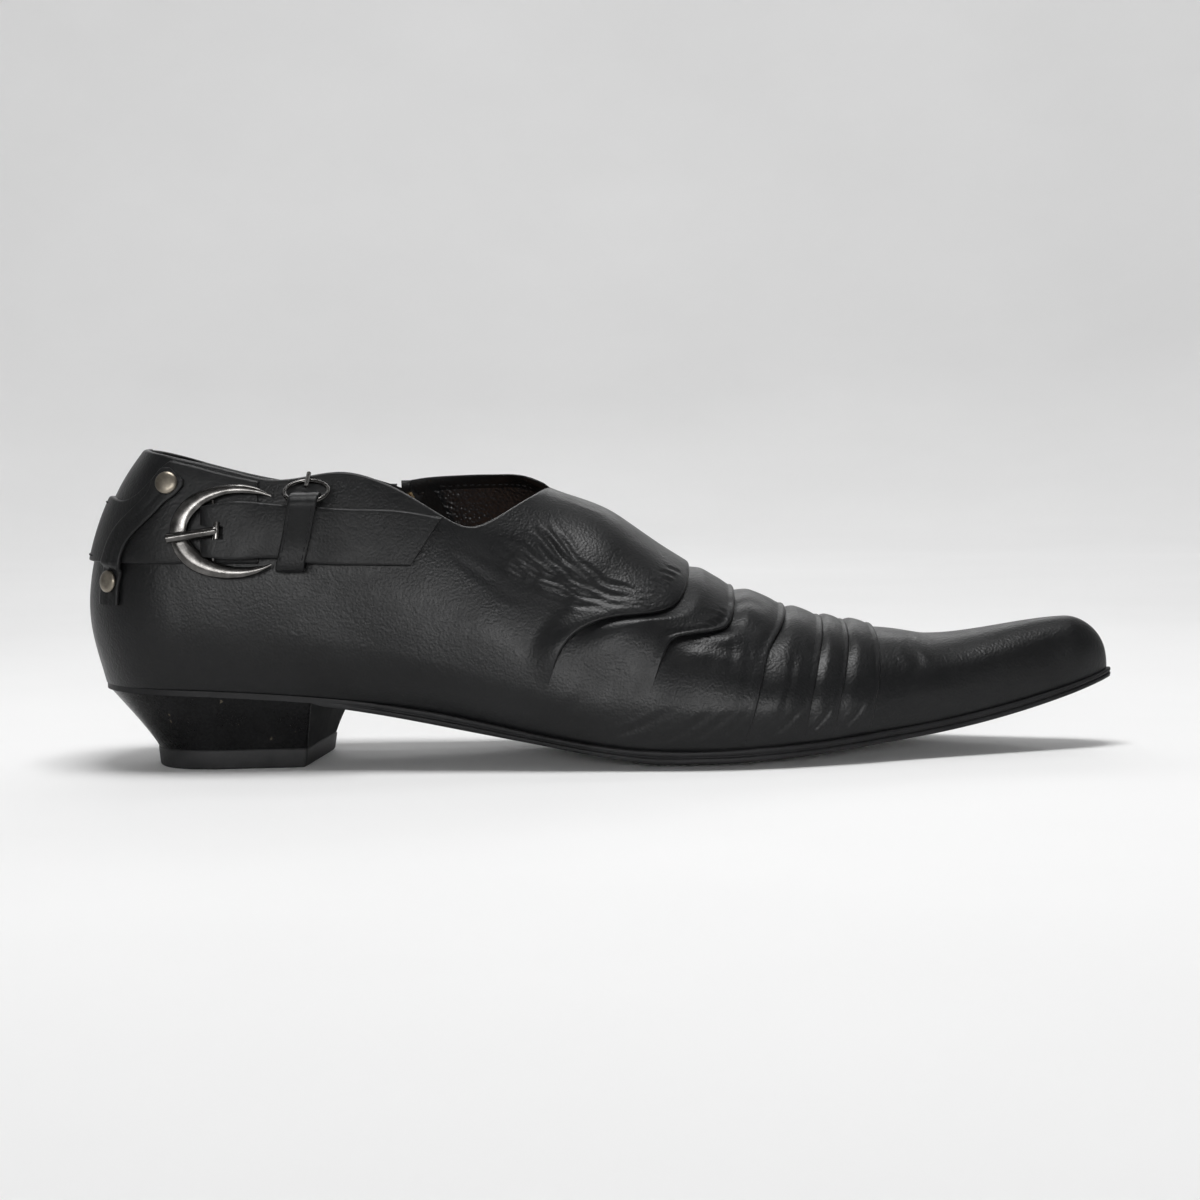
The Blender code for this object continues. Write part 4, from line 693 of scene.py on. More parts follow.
class Surface:
    """A material in the making, on the object's own coordinates."""

    def __init__(self, name):
        self.material = bpy.data.materials.new(name)
        self.material.use_nodes = True
        self.tree = self.material.node_tree
        self.shader = self.tree.nodes["Principled BSDF"]
        self.place = self.tree.nodes.new("ShaderNodeTexCoord").outputs["Object"]

    def add(self, kind, sources, values):
        """A node with some sockets linked to sources and others set to values."""
        node = self.tree.nodes.new("ShaderNode" + kind)
        for socket, value in values.items():
            node.inputs[socket].default_value = value
        for socket, source in sources.items():
            self.tree.links.new(source, node.inputs[socket])
        return node

    def feed(self, socket, source):
        """Link a source to the shader."""
        self.tree.links.new(source, self.shader.inputs[socket])

    def noise(self, scale, detail=4.0, rough=0.55):
        values = {"Scale": scale, "Detail": detail, "Roughness": rough}
        return self.add("TexNoise", {"Vector": self.place}, values).outputs["Fac"]

    def cells(self, feature, scale):
        node = self.add("TexVoronoi", {"Vector": self.place}, {"Scale": scale})
        node.feature = feature
        return node.outputs["Distance"]

    def ramp(self, source, *stops):
        """A colour ramp with two stops of (position, grey or colour)."""
        node = self.add("ValToRGB", {"Fac": source}, {})
        for element, (position, colour) in zip(node.color_ramp.elements, stops):
            element.position = position
            element.color = (colour, colour, colour, 1.0) if isinstance(colour, float) else (*colour, 1.0)
        return node.outputs["Color"]

    def rough(self, source, low, high):
        """Roughness between two values, by a 0 to 1 source."""
        node = self.add("MapRange", {"Value": source}, {"To Min": low, "To Max": high})
        self.feed("Roughness", node.outputs["Result"])

    def bump(self, *layers):
        """Chained bumps: each layer is a height, its distance in metres and its strength."""
        normal = {}
        for height, distance, strength in layers:
            values = {"Distance": distance, "Strength": strength}
            node = self.add("Bump", {"Height": height, **normal}, values)
            normal = {"Normal": node.outputs["Normal"]}
        self.feed("Normal", normal["Normal"])


LEATHER_SHADES = (0.75, 1.3)
CHIP_STOPS = ((0.71, 0.0), (0.74, 1.0))
CHIP_COLOUR = (0.07, 0.06, 0.045)


def leather_material(name, colour, roughness, grain=1500.0, grain_depth=0.00012, specular=0.22):
    """Grained leather: two close shades, uneven gloss, pores and fine creases."""
    look = Surface(name)
    dark, light = (tuple(share * c for c in colour) for share in LEATHER_SHADES)
    look.feed("Base Color", look.ramp(look.noise(45.0, 5.0), (0.3, dark), (0.7, light)))
    look.rough(look.noise(160.0, 6.0, 0.65), roughness - 0.10, roughness + 0.14)
    look.shader.inputs["Specular IOR Level"].default_value = specular
    crackle = look.ramp(look.cells("DISTANCE_TO_EDGE", 340.0), (0.0, 0.0), (0.12, 1.0))
    look.bump((look.noise(210.0, 4.0, 0.5), 0.00030, 0.16), (crackle, 0.00005, 0.25),
              (look.cells("SMOOTH_F1", grain), grain_depth, 0.55),
              (look.noise(900.0, 5.0, 0.6), 0.00010, 0.4))
    return look.material


def metal_material(name, colour, roughness, dark=0.45):
    """Polished metal with tarnish in patches and fine scratches."""
    look = Surface(name)
    look.shader.inputs["Metallic"].default_value = 1.0
    tarnished = tuple(dark * c for c in colour)
    look.feed("Base Color", look.ramp(look.noise(260.0, 6.0, 0.6), (0.35, tarnished), (0.62, colour)))
    scratches = look.noise(900.0, 8.0, 0.75)
    look.rough(scratches, roughness - 0.08, roughness + 0.16)
    look.bump((scratches, 0.00003, 0.35))
    return look.material


def plain_material(name, colour, roughness, scale=700.0, depth=0.00006, specular=0.3, chips=False):
    """Moulded or lacquered surface with uneven gloss, fine scuffs and dust, and small chips if wanted."""
    look = Surface(name)
    cloud = look.noise(90.0, 6.0, 0.65)
    tint = look.ramp(cloud, (0.35, colour), (0.75, tuple(c * 2.0 + 0.002 for c in colour)))
    if chips:
        spots = look.ramp(look.noise(330.0, 3.0), *CHIP_STOPS)
        mix = look.add("MixRGB", {"Fac": spots, "Color1": tint}, {"Color2": (*CHIP_COLOUR, 1.0)})
        tint = mix.outputs["Color"]
    look.feed("Base Color", tint)
    scuff = look.noise(scale, 8.0, 0.7)
    look.rough(scuff, roughness - 0.09, roughness + 0.2)
    look.shader.inputs["Specular IOR Level"].default_value = specular
    look.bump((scuff, depth, 0.4), (cloud, 0.0002, 0.25))
    return look.material


BLACK = (0.005, 0.0052, 0.0056)
UPPER_LEATHER = leather_material("upper_leather", BLACK, 0.36, specular=0.25)
STRAP_LEATHER = leather_material("strap_leather", (0.006, 0.0062, 0.0065), 0.42, specular=0.22)
SOLE_LEATHER = plain_material("sole_leather", (0.007, 0.007, 0.0075), 0.42, specular=0.18)
HEEL_GLOSS = plain_material("heel_gloss", (0.0025, 0.0025, 0.0027), 0.22, specular=0.12, chips=True)
HEEL_MATT = plain_material("heel_matt", (0.014, 0.014, 0.0145), 0.75, 500.0, 0.0001, 0.05)
LIFT_RUBBER = plain_material("toplift_rubber", (0.016, 0.016, 0.0165), 0.55, 1200.0, 0.00015, 0.2)
TAN_LINING = leather_material("tan_lining", (0.20, 0.095, 0.04), 0.55, 1100.0, 0.00008)
BLACK_LINING = leather_material("black_lining", (0.011, 0.011, 0.012), 0.30, 1050.0, 0.0008, 0.8)
NICKEL = metal_material("dark_nickel", (0.14, 0.135, 0.13), 0.16)
ANTIQUE = metal_material("antique_nickel", (0.28, 0.25, 0.205), 0.34, 0.5)
BRASS = metal_material("stop_brass", (0.80, 0.60, 0.34), 0.22, 0.6)
ZIP_BLACK = plain_material("black_metal", (0.012, 0.012, 0.0125), 0.30)
ZIP_CLOTH = plain_material("zip_tape", (0.008, 0.008, 0.0085), 0.80, 1600.0, 0.0002)

make_upper_skin(UPPER_LEATHER)


# Helpers for straps, rods and stitches

def chaikin(points, rounds=2, closed=True):
    """Cut the corners of a line of points, round by round."""
    points = np.asarray(points, float)
    for _ in range(rounds):
        before = points if closed else points[:-1]
        after = np.roll(points, -1, axis=0) if closed else points[1:]
        cut = np.stack([0.75 * before + 0.25 * after, 0.25 * before + 0.75 * after], axis=1)
        cut = cut.reshape(-1, points.shape[1])
        points = cut if closed else np.concatenate([points[:1], cut, points[-1:]])
    return points


def strap_profile(width, thick, edge=0.5, steps=8):
    """Cross-section of a strap with rounded edges: share of its width and share of its thickness."""
    across, deep = edge / width, min(edge / thick, 0.6)
    face = [(across + (1 - 2 * across) * i / steps, 1.0) for i in range(steps + 1)]
    high = [(1 - 0.3 * across, 1 - 0.25 * deep), (1.0, 1 - deep), (1.0, 0.2), (1 - 0.4 * across, 0.0)]
    low = [(1 - v, h) for v, h in high[::-1]]
    return face + high + low


def ribbon(mesh, place, stations, profile):
    """A strap along its stations; place gives a point from station, share of width and share of thickness."""
    mesh.rings([[place(s, v, h) for v, h in profile] for s in stations])


def circle(centre, first, second, radius, sides):
    """Points round a circle in the plane of two axes."""
    angles = np.linspace(0, 2 * math.pi, sides, endpoint=False)
    return [centre + (first * math.cos(a) + second * math.sin(a)) * radius for a in angles]


def square_axes(along, up, side):
    """Unit axes along, upward and outward on a side, from two rough directions."""
    along = unit(along)
    up = unit(up - along * np.dot(up, along))
    out = np.cross(along, up)
    return along, up, out if out[1] * side > 0 else -out


ROD_END = 0.55
ROD_INSET = 0.02


def rod(mesh, start, end, radii, sides=14):
    """Rod with a radius at each of its even steps and rounded ends."""
    start, end = np.asarray(start, float), np.asarray(end, float)
    axis = unit(end - start)
    first = unit(np.cross(axis, (0.0, 0.2, 1.0)))
    second = np.cross(axis, first)
    places = ROD_INSET + (1 - 2 * ROD_INSET) * np.linspace(0, 1, len(radii))
    rounded = [(0.0, radii[0] * ROD_END), *zip(places, radii), (1.0, radii[-1] * ROD_END)]
    mesh.rings([circle(start + (end - start) * t, first, second, r, sides) for t, r in rounded])


STITCH_LONG = 1.5
STITCH_PITCH = 2.3
STITCH_RADIUS = 0.24
STITCH_PROFILE = ((-0.5, 0.3), (-0.36, 0.85), (0.0, 1.0), (0.36, 0.85), (0.5, 0.3))
STITCH_RISE = 0.10
STITCH_SINK = 0.35
STITCH_STEP = 0.4


def stitch_row(mesh, place, start, end):
    """Stitches along a line; place gives a point from a position and a stand-off."""
    at = np.linspace(start, end, 160)
    line = np.array([place(t, 0.0) for t in at])
    raised = np.array([place(t, 1.0) for t in at])
    lengths = np.concatenate([[0], np.cumsum(np.linalg.norm(np.diff(line, axis=0), axis=1))])

    def along(points, where):
        return np.array([np.interp(where, lengths, points[:, k]) for k in range(3)])

    for i in range(int(lengths[-1] // STITCH_PITCH)):
        rings = []
        for t, r in STITCH_PROFILE:
            where = (i + 0.5) * STITCH_PITCH + t * STITCH_LONG
            p = along(line, where)
            out = unit(along(raised, where) - p)
            across = unit(np.cross(along(line, where + STITCH_STEP) - p, out))
            sunk = p + out * (STITCH_RISE - STITCH_SINK * (2 * t) ** 2 * STITCH_RADIUS)
            rings.append(circle(sunk, across, out, r * STITCH_RADIUS, 6))
        mesh.rings(rings)


# Sole, heel and insole

SOLE_EDGE = ((-5.0, 0.0), (-0.2, 0.0), (0.0, 0.07), (0.02, 0.22), (0.0, 0.34), (-0.18, 0.40), (-0.5, 0.44),
             (-0.5, 0.52), (-0.15, 0.56), (0.0, 0.64), (0.0, 0.80), (-0.12, 0.92), (-0.55, 1.0))
UNDER_SHARES = (0.88, 0.72, 0.45, 0.2, 0.0)
CAMBER_SPAN = (0.45, 1.0)
BREAST_SOFT = 0.7
BREAST_GAP = 0.6
LIP_REACH = 30.0
GROOVE_SPAN = (BREAST_X - 4.0, BREAST_X + 26.0)
EDGE_NARROW = 6.0


def sole_bottom(x, across):
    """Underside of the sole: level on its flat spot, with edges that lift a little."""
    bottom = np.where((x > FLAT_SPOT[0]) & (x < FLAT_SPOT[1]), 0.0, np.maximum(SOLE["bottom"](x), 0.0))
    return bottom + SOLE["camber"](x) * smooth(np.abs(across), *CAMBER_SPAN)


def sole_stations():
    back, tip = float(BACK_X(SEAT_FOOT)) - SEAT_LIP, UPPER_TIP_X + SOLE_LIP
    turn = np.linspace(0, math.pi / 2, 18)
    heel = HEEL_X - (HEEL_X - back) * np.cos(turn)
    seat = np.linspace(HEEL_X, BREAST_X - BREAST_GAP, 18)[1:]
    middle = np.concatenate([seat, np.linspace(BREAST_X, NOSE_X, 110)])
    return np.concatenate([heel, middle, NOSE_X + (tip - NOSE_X) * np.sin(turn)[1:]])


def sole_under(x, y, share):
    """Underside at a place: the thin heel seat behind the slanting breast line, the full sole ahead of it."""
    ahead = smooth(x - BREAST_SLANT * y, BREAST_X - BREAST_SOFT, BREAST_X + BREAST_SOFT)
    seat = LAST["feather"](x) - SEAT_THICK
    return seat + (sole_bottom(x, share) - seat) * ahead


def make_sole():
    """Full-length sole with a groove round its edge, which fades out at the heel seat."""
    x = sole_stations()
    lip = SEAT_LIP + (SOLE_LIP - SEAT_LIP) * smooth(x, BREAST_X, BREAST_X + LIP_REACH)
    groove = smooth(x, *GROOVE_SPAN)
    top = LAST["feather"](x)
    mesh = Mesh()
    for side in SIDES:
        width = plan_width(x, side, -lip)
        under = sole_under(x, side * width, 1.0)
        run = np.stack([np.gradient(x), side * np.gradient(width)], axis=-1)
        out = unit(np.stack([-side * run[:, 1], side * run[:, 0]], axis=-1))
        line = []
        for away, down in SOLE_EDGE:
            scale = np.minimum(1.0, width / EDGE_NARROW) if away < -1 else groove
            shift = out * (away * scale)[:, None]
            z = top + (under - top) * down
            line.append(np.stack([x + shift[:, 0], side * width + shift[:, 1], z], axis=-1))
        for share in UNDER_SHARES:
            y = side * width * share
            line.append(np.stack([x, y, sole_under(x, y, share)], axis=-1))
        mesh.grid(np.transpose(np.array(line), (1, 0, 2)))
    obj = mesh.make("sole", SOLE_LEATHER, "sole_leather", sharp=60.0)
    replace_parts(obj, "outsole")


HEEL_SEAT = {"back": 5.2, "front": 68.4, "slant": 3.75, "half": 26.4}
HEEL_FOOT = {"back": 18.2, "front": 64.5, "slant": 1.9, "half": 20.0}
HEEL_PLAN_ROUND = 2.3
HEEL_TAPER = 1.15
HEEL_ARC = 0.98
HEEL_NARROW = 0.045
BREAST_CORNER = 0.9
LIFT_PROFILE = ((0.0, 0.955), (0.2, 0.97), (0.7, 0.982), (4.9, 1.004), (5.25, 1.0), (TOPLIFT_HEIGHT, 0.985))


def heel_half(size, side):
    """One side of the heel's plan, from the back to its rounded corner at the breast."""
    middle = size["back"] + size["half"] * HEEL_ARC
    front = size["front"] + side * size["slant"] - BREAST_CORNER
    narrow = size["half"] * (1 - HEEL_NARROW)
    half = []
    for angle in np.linspace(0, math.pi / 2, 26):
        x = middle - (middle - size["back"]) * math.cos(angle) ** (2 / HEEL_PLAN_ROUND)
        half.append((x, size["half"] * math.sin(angle) ** (2 / HEEL_PLAN_ROUND)))
    for share in (0.25, 0.5, 0.75):
        half.append((middle + (front - middle) * share, size["half"] * (1 - HEEL_NARROW * share)))
    for angle in np.linspace(0, math.pi / 2, 5):
        turn = BREAST_CORNER * np.array([math.sin(angle), math.cos(angle) - 1])
        half.append((front + turn[0], narrow + turn[1]))
    return [(x, side * y) for x, y in half]


def heel_plan(level):
    """Side line and breast line of the heel's plan, from its foot (level 0) to its seat (level 1)."""
    swell = level ** HEEL_TAPER
    size = {key: HEEL_FOOT[key] + (HEEL_SEAT[key] - HEEL_FOOT[key]) * swell for key in HEEL_SEAT}
    lateral, medial = heel_half(size, LATERAL), heel_half(size, MEDIAL)
    breast = [lerp(lateral[-1], medial[-1], share) for share in np.linspace(0, 1, 9)]
    return lateral[::-1] + medial[1:], breast


def make_heel():
    """Tapered block heel with a matt breast, and the top piece that it stands on."""
    sides, breasts = [], []
    for level in np.linspace(0, 1, 14):
        for plan, grid in zip(heel_plan(level), (sides, breasts)):
            line = []
            for x, y in plan:
                seat = float(LAST["feather"](x)) - SEAT_THICK
                line.append((x, y, TOPLIFT_HEIGHT + (seat - TOPLIFT_HEIGHT) * level))
            grid.append(line)
    block, breast = Mesh(), Mesh()
    block.grid(sides)
    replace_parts(block.make("heel", HEEL_GLOSS, "heel_gloss", sharp=50.0), "heel_block")
    breast.grid(breasts)
    breast.make("heel_breast", HEEL_MATT, "heel_gloss", sharp=50.0)
    side_line, breast_line = heel_plan(0.0)
    plan = np.array(side_line + breast_line[::-1][1:-1])
    centre = plan.mean(axis=0)
    lift = Mesh()
    lift.rings([[(*(centre + (p - centre) * shrink), z) for p in plan] for z, shrink in LIFT_PROFILE])
    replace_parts(lift.make("toplift", LIFT_RUBBER, "toplift_rubber", sharp=50.0), "heel_toplift")


INSOLE_TOP = 2.3
INSOLE_CUP = 0.7
SOCK_INSET = WALL + 0.2
SOCK_TOE_GAP = 2.0
SOCK_EDGE_SHARE = 0.86
SOCK_EDGE_LIFT = 0.12
PATCH_BOX = ((20.0, -13.0), (78.0, 5.0))
PATCH_HALF = 24.0
PATCH_LIFT = 0.14
LINING_DEPTH = -(WALL + 0.22)
LINING_FOOT = 1.0
LINING_DROP = 3.0
LINING_HEEL_FOOT = 24.5
LINING_FOOT_SHARE = 0.04
LINING_COLLAR_GAP = 0.02
LINING_ZIP_GAP = 1.5
LINING_SHORT = 4.0
TAN_ENDS = {LATERAL: 119.0, MEDIAL: 82.0}


def insole_height(x, share):
    return LAST["feather"](x) + INSOLE_TOP + INSOLE_CUP * np.abs(share) ** 4


def make_insole():
    """Tan sock with a dark edge strip and a bare dark patch at the heel."""
    back, tip = float(BACK_X(SEAT_LEVEL)) + SOCK_INSET, UPPER_TIP_X - SOCK_INSET - SOCK_TOE_GAP
    turn = np.linspace(0, math.pi / 2, 16)
    x = np.concatenate([HEEL_X - (HEEL_X - back) * np.cos(turn), np.linspace(HEEL_X, NOSE_X, 70)[1:],
                        NOSE_X + (tip - NOSE_X) * np.sin(turn)[1:]])
    sock, strip = Mesh(), Mesh()
    bands = ((sock, -1.0, 1.0, 21, 0.0),
             (strip, SOCK_EDGE_SHARE, 1.0, 4, SOCK_EDGE_LIFT),
             (strip, -1.0, -SOCK_EDGE_SHARE, 4, SOCK_EDGE_LIFT))
    for mesh, low, high, count, lift in bands:
        columns = []
        for share in np.linspace(low, high, count):
            width = plan_width(x, LATERAL if share < 0 else MEDIAL, SOCK_INSET)
            columns.append(np.stack([x, share * width, insole_height(x, share) + lift], axis=-1))
        mesh.grid(columns)
    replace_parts(sock.make("sock", TAN_LINING, "insole_leather"), "insole")
    strip.make("sock_edge", SOLE_LEATHER, "upper_leather")
    patch = Mesh()
    (x0, y0), (x1, y1) = PATCH_BOX
    across = np.linspace(y0, y1, 10)
    grid = []
    for px in np.linspace(x0, x1, 24):
        heights = insole_height(px, across / PATCH_HALF) + PATCH_LIFT
        grid.append(np.stack([px + 0 * across, across, heights], axis=-1))
    patch.grid(grid)
    patch.make("sock_patch", SOLE_LEATHER, "upper_leather")


def tan_column(place, side):
    """A column of the tan lining: by x on the side wall, or by its turn round the heel's back."""
    rows = np.linspace(0, 1, 22)
    if place > 1:
        low, high = float(LAST["feather"](place)), float(COLLAR[side_name(side)](place))
        z = low + LINING_FOOT + (high - LINING_DROP - low) * rows
        return wall_point(np.float64(place), z, side, LINING_DEPTH)
    z = LINING_HEEL_FOOT + (heel_collar(place, side) - LINING_DROP - LINING_HEEL_FOOT) * rows
    return heel_point(place, z, side, LINING_DEPTH)


def make_lining():
    """Tan lining of the heel part, and the black pebbled lining of the flaps and vamp."""
    places = [(x, LATERAL) for x in np.linspace(TAN_ENDS[LATERAL], HEEL_X, 36)]
    places += [(turn, LATERAL) for turn in np.linspace(0.96, 0.0, 22)]
    places += [(turn, MEDIAL) for turn in np.linspace(0.04, 0.96, 22)]
    places += [(x, MEDIAL) for x in np.linspace(HEEL_X, TAN_ENDS[MEDIAL], 24)]
    tan, black = Mesh(), Mesh()
    tan.grid([tan_column(place, side) for place, side in places])
    tan.make("lining_tan", TAN_LINING, "insole_leather", sharp=80.0)
    shares = np.linspace(LINING_FOOT_SHARE, 1, 26)
    nose = upright(NOSE_X - LINING_SHORT)
    for side in SIDES:
        guides = GUIDES[side]
        lines = [between(guides["throat"], guides["toe"], s) for s in np.linspace(0, 1, 30)]
        lines += [between(guides["toe"], nose, s) for s in np.linspace(0, 1, 12)[1:]]
        black.grid([section_point(line(shares), shares, side, LINING_DEPTH) for line in lines])
    columns = []
    for s in np.linspace(0, 1, 20):
        line = between(zip_line(ZIP_HALF + LINING_ZIP_GAP), GUIDES[MEDIAL]["throat"], s)
        top = collar_share(line, MEDIAL) - LINING_COLLAR_GAP if s < 1 else 1.0
        reach = np.linspace(LINING_FOOT_SHARE, top, 26)
        columns.append(section_point(line(reach), reach, MEDIAL, LINING_DEPTH))
    black.grid(columns)
    black.make("lining_black", BLACK_LINING, "upper_leather", sharp=80.0)


# Heel band, back keeper and rivets

STATION_LENGTH = 100.0
BAND_OFF = 0.1
BAND_THICK = 1.5
BAND_COLUMNS = ("station", "low", "high")
BAND_LATERAL = ((0.0, 58.6, 76.2), (0.35, 58.4, 76.0), (0.7, 58.2, 77.8), (0.95, 58.0, 86.0),
                (1.1, 57.8, 82.9), (1.22, 57.6, 80.0))
BAND_MEDIAL = ((0.0, 58.6, 76.2), (0.5, 55.0, 72.5), (1.0, 49.5, 67.0), (1.3, 44.5, 62.0), (1.6, 41.5, 59.0))
BAND_CURVES = {side: table_curves(BAND_COLUMNS, rows)
               for side, rows in ((LATERAL, BAND_LATERAL), (MEDIAL, BAND_MEDIAL))}
BAND_START = -1.22
BAND_END = 1.6
BAND_TURN = 1.3
BAND_WIDE = 17.6
BAND_ZIP_GAP = 0.6
BAND_STITCH_FROM = -0.3
BAND_STITCH_SHORT = 0.02
BAND_STITCH_SHARES = (0.09, 0.91)
KEEPER_COLUMNS = ("share", "x", "z")
KEEPER_ROWS = ((0.0, 30.0, 82.6), (0.085, 27.8, 80.0), (0.232, 24.2, 75.2), (0.39, 19.4, 70.4),
               (0.536, 15.2, 65.8), (0.648, 13.1, 61.5), (0.745, 12.0, 57.5), (0.841, 10.9, 53.6),
               (1.0, 10.2, 46.8))
KEEPER_CURVES = table_curves(KEEPER_COLUMNS, KEEPER_ROWS)
KEEPER_STEP = 0.01
KEEPER_HALF = 2.6
KEEPER_WIDE = 5.0
KEEPER_EDGE = 0.45
KEEPER_THICK = 1.3
KEEPER_OFF = 0.15
KEEPER_DROP = (0.735, 0.775)
KEEPER_HEAD = (0.10, 0.22)
KEEPER_HEAD_SWELL = 0.45
KEEPER_END = (0.0, 0.03)
KEEPER_END_ROUND = 0.5
KEEPER_FOOT = (0.66, 0.76)
KEEPER_FOOT_SWELL = 0.25
KEEPER_CREASE = (0.12, 0.09)
KEEPER_FACE = 0.9
RIVET_RADIUS = 3.1
RIVET_HEIGHT = 1.3
RIVET_SHARES = (0.085, 0.85)
RIVET_REACH = 1.5
RIVET_STEP = 0.03
RIVET_PROFILE = ((0.94, 0.0), (1.0, 0.15), (1.0, 0.38), (0.95, 0.56), (0.86, 0.72), (0.72, 0.86), (0.5, 0.95),
                 (0.25, 0.99), (0.05, 1.0))


def zip_edge_x(z):
    """x of the slit's rear edge at a height on the inner side."""
    x = ZIP_TOP[1]
    for _ in range(SEARCH_ROUNDS):
        share = (z - LAST["feather"](x)) / (LAST["crest"](x) - LAST["feather"](x))
        x = float(zip_x(share, -ZIP_HALF))
    return x


def band_point(station, v, offset):
    """Point of the heel band: negative stations on the outer side, positive ones on the inner side."""
    side = LATERAL if station < 0 else MEDIAL
    at = abs(station)
    low, high = (float(BAND_CURVES[side][name](at)) for name in ("low", "high"))
    z = low + (high - low) * v
    if at < 1:
        return heel_point(at, np.float64(z), side, offset)
    x = HEEL_X + (at - 1) * STATION_LENGTH
    if side == MEDIAL and at > BAND_TURN:
        end = HEEL_X + (BAND_END - 1) * STATION_LENGTH
        x += (zip_edge_x(z) - BAND_ZIP_GAP - end) * (at - BAND_TURN) / (BAND_END - BAND_TURN)
    return wall_point(np.float64(x), z, side, offset)


def make_band():
    """Wide strap from the buckle round the back to the zip, stitched along its edges on the inner side."""
    mesh = Mesh()
    stations = np.concatenate([np.linspace(BAND_START, -0.02, 52), np.linspace(0.0, BAND_END, 66)])

    def place(station, v, h):
        return band_point(station, v, BAND_OFF + BAND_THICK * h)

    ribbon(mesh, place, stations, strap_profile(BAND_WIDE, BAND_THICK))
    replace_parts(mesh.make("band", STRAP_LEATHER, "strap_leather", sharp=60.0), "heel_band")
    for v in BAND_STITCH_SHARES:
        def seam(station, off):
            return band_point(station, v, BAND_OFF + BAND_THICK + off)
        stitch_row(STITCHES, seam, BAND_STITCH_FROM, BAND_END - BAND_STITCH_SHORT)


def keeper_point(t, across, lift):
    """Point of the back keeper: share of its length, distance across and height over its underside."""
    before, here, after = (np.array([KEEPER_CURVES[name](t + step) for name in ("x", "z")])
                           for step in (-KEEPER_STEP, 0.0, KEEPER_STEP))
    dx, dz = after - before
    forward, upward = unit((-dz, dx)) * across
    over_band = (BAND_THICK + BAND_OFF) * float(1 - smooth(t, *KEEPER_DROP))
    return side_point(here[0] + forward, here[1] + upward, LATERAL, KEEPER_OFF + over_band + lift)


def make_back_keeper():
    """Narrow strip across the band, wider round its rivets, with a crease along its middle."""
    mesh = Mesh()
    depth, wide = KEEPER_CREASE

    def place(t, v, h):
        head = KEEPER_HEAD_SWELL * (1 - smooth(t, *KEEPER_HEAD))
        end = KEEPER_END_ROUND * (1 - smooth(t, *KEEPER_END))
        half = KEEPER_HALF * (1 + head - end) + KEEPER_FOOT_SWELL * smooth(t, *KEEPER_FOOT)
        crease = depth * math.exp(-((v - 0.5) / wide) ** 2) * (h > KEEPER_FACE)
        return keeper_point(t, (2 * v - 1) * half, KEEPER_THICK * h - crease)

    ribbon(mesh, place, np.linspace(0, 1, 60), strap_profile(KEEPER_WIDE, KEEPER_THICK, KEEPER_EDGE, 12))
    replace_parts(mesh.make("keeper", STRAP_LEATHER, "strap_leather", sharp=60.0), "back_keeper")


def make_rivets():
    """Two domed rivets with a flat face and a thin rim."""
    for name, t in zip(("rivet_upper", "rivet_lower"), RIVET_SHARES):
        def near(along, across):
            return keeper_point(t + along, across, KEEPER_THICK)
        right, up, out = square_axes(near(0.0, RIVET_REACH) - near(0.0, -RIVET_REACH),
                                     near(-RIVET_STEP, 0.0) - near(RIVET_STEP, 0.0), LATERAL)
        mesh = Mesh()
        rings = []
        for radius, height in RIVET_PROFILE:
            middle = near(0.0, 0.0) + out * height * RIVET_HEIGHT
            rings.append(circle(middle, right, up, radius * RIVET_RADIUS, 32))
        mesh.rings(rings)
        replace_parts(mesh.make(name + "_dome", ANTIQUE, "dark_nickel", sharp=60.0), name)


# Buckle, its strap and the small keeper

BUCKLE_CENTRE = (47.0, 66.7)
BUCKLE_OFF = 4.0
BUCKLE_HALF_LONG = 16.0
BUCKLE_HALF_TALL = 11.3
BUCKLE_OPEN_ANGLE = 55.0
BUCKLE_WIDE = 5.0
BUCKLE_TIP_WIDE = 1.4
BUCKLE_ARM_WIDE = 2.7
BUCKLE_LOWER_SWELL = 0.9
BUCKLE_THICK = 2.6
BUCKLE_TIP_THICK = 1.4
BUCKLE_ARM_SPAN = (0.2, 0.5)
BUCKLE_WIDE_SPAN = (0.5, 1.0)
BUCKLE_LOWER_SPANS = ((0.0, 0.8), (0.35, 0.7))
BUCKLE_THICK_SPAN = (0.15, 0.8)
BUCKLE_END_ROUND = (0.3, 2.5)
BUCKLE_ROUND = (0.75, 0.85)
BAR_X = 40.3
BAR_RADIUS = 0.45
PRONG_OFF = 6.9
PRONG_ENDS = ((42.0, 66.6), (28.0, 64.6))
PRONG_RIBS = [1.15 + 0.2 * t + 0.03 * math.sin(28 * t) for t in np.linspace(0, 1, 28)]
HUB_OFF = 6.75
HUB_ENDS = ((41.6, 64.2), (41.9, 69.0))
HUB_RADII = (0.8, 0.9, 0.9, 0.8)
STRAP_THICK = 1.3
STRAP_COLUMNS = ("x", "off", "low", "high")
STRAP_ROWS = ((38.0, 6.2, 59.9, 73.6), (46.0, 6.3, 59.0, 74.8), (56.0, 6.1, 59.2, 74.0),
              (64.0, 5.6, 58.0, 73.3), (75.0, 3.0, 57.0, 72.2), (90.0, 1.8, 56.6, 71.4),
              (102.0, 1.7, 56.4, 69.2))
STRAP_CURVES = table_curves(STRAP_COLUMNS, STRAP_ROWS)
STRAP_SLANT_FROM = 78.0
STRAP_SLANT = 8.5
STRAP_END = 102.0
STRAP_WIDE = 14.5
STRAP_FOLD = ((51.0, 2.45), (45.0, 2.45), (40.4, 2.45), (38.0, 3.0), (37.4, 4.15), (38.1, 5.2), (39.8, 5.6))
STRAP_FRONT = 42.0
STRAP_CURL = 0.5
STRAP_CURL_SPANS = ((46.0, 52.0), (58.0, 66.0))
SLOT_Z = 66.4
SLOT_HALF = 1.7
SLOT_END_X = 43.4
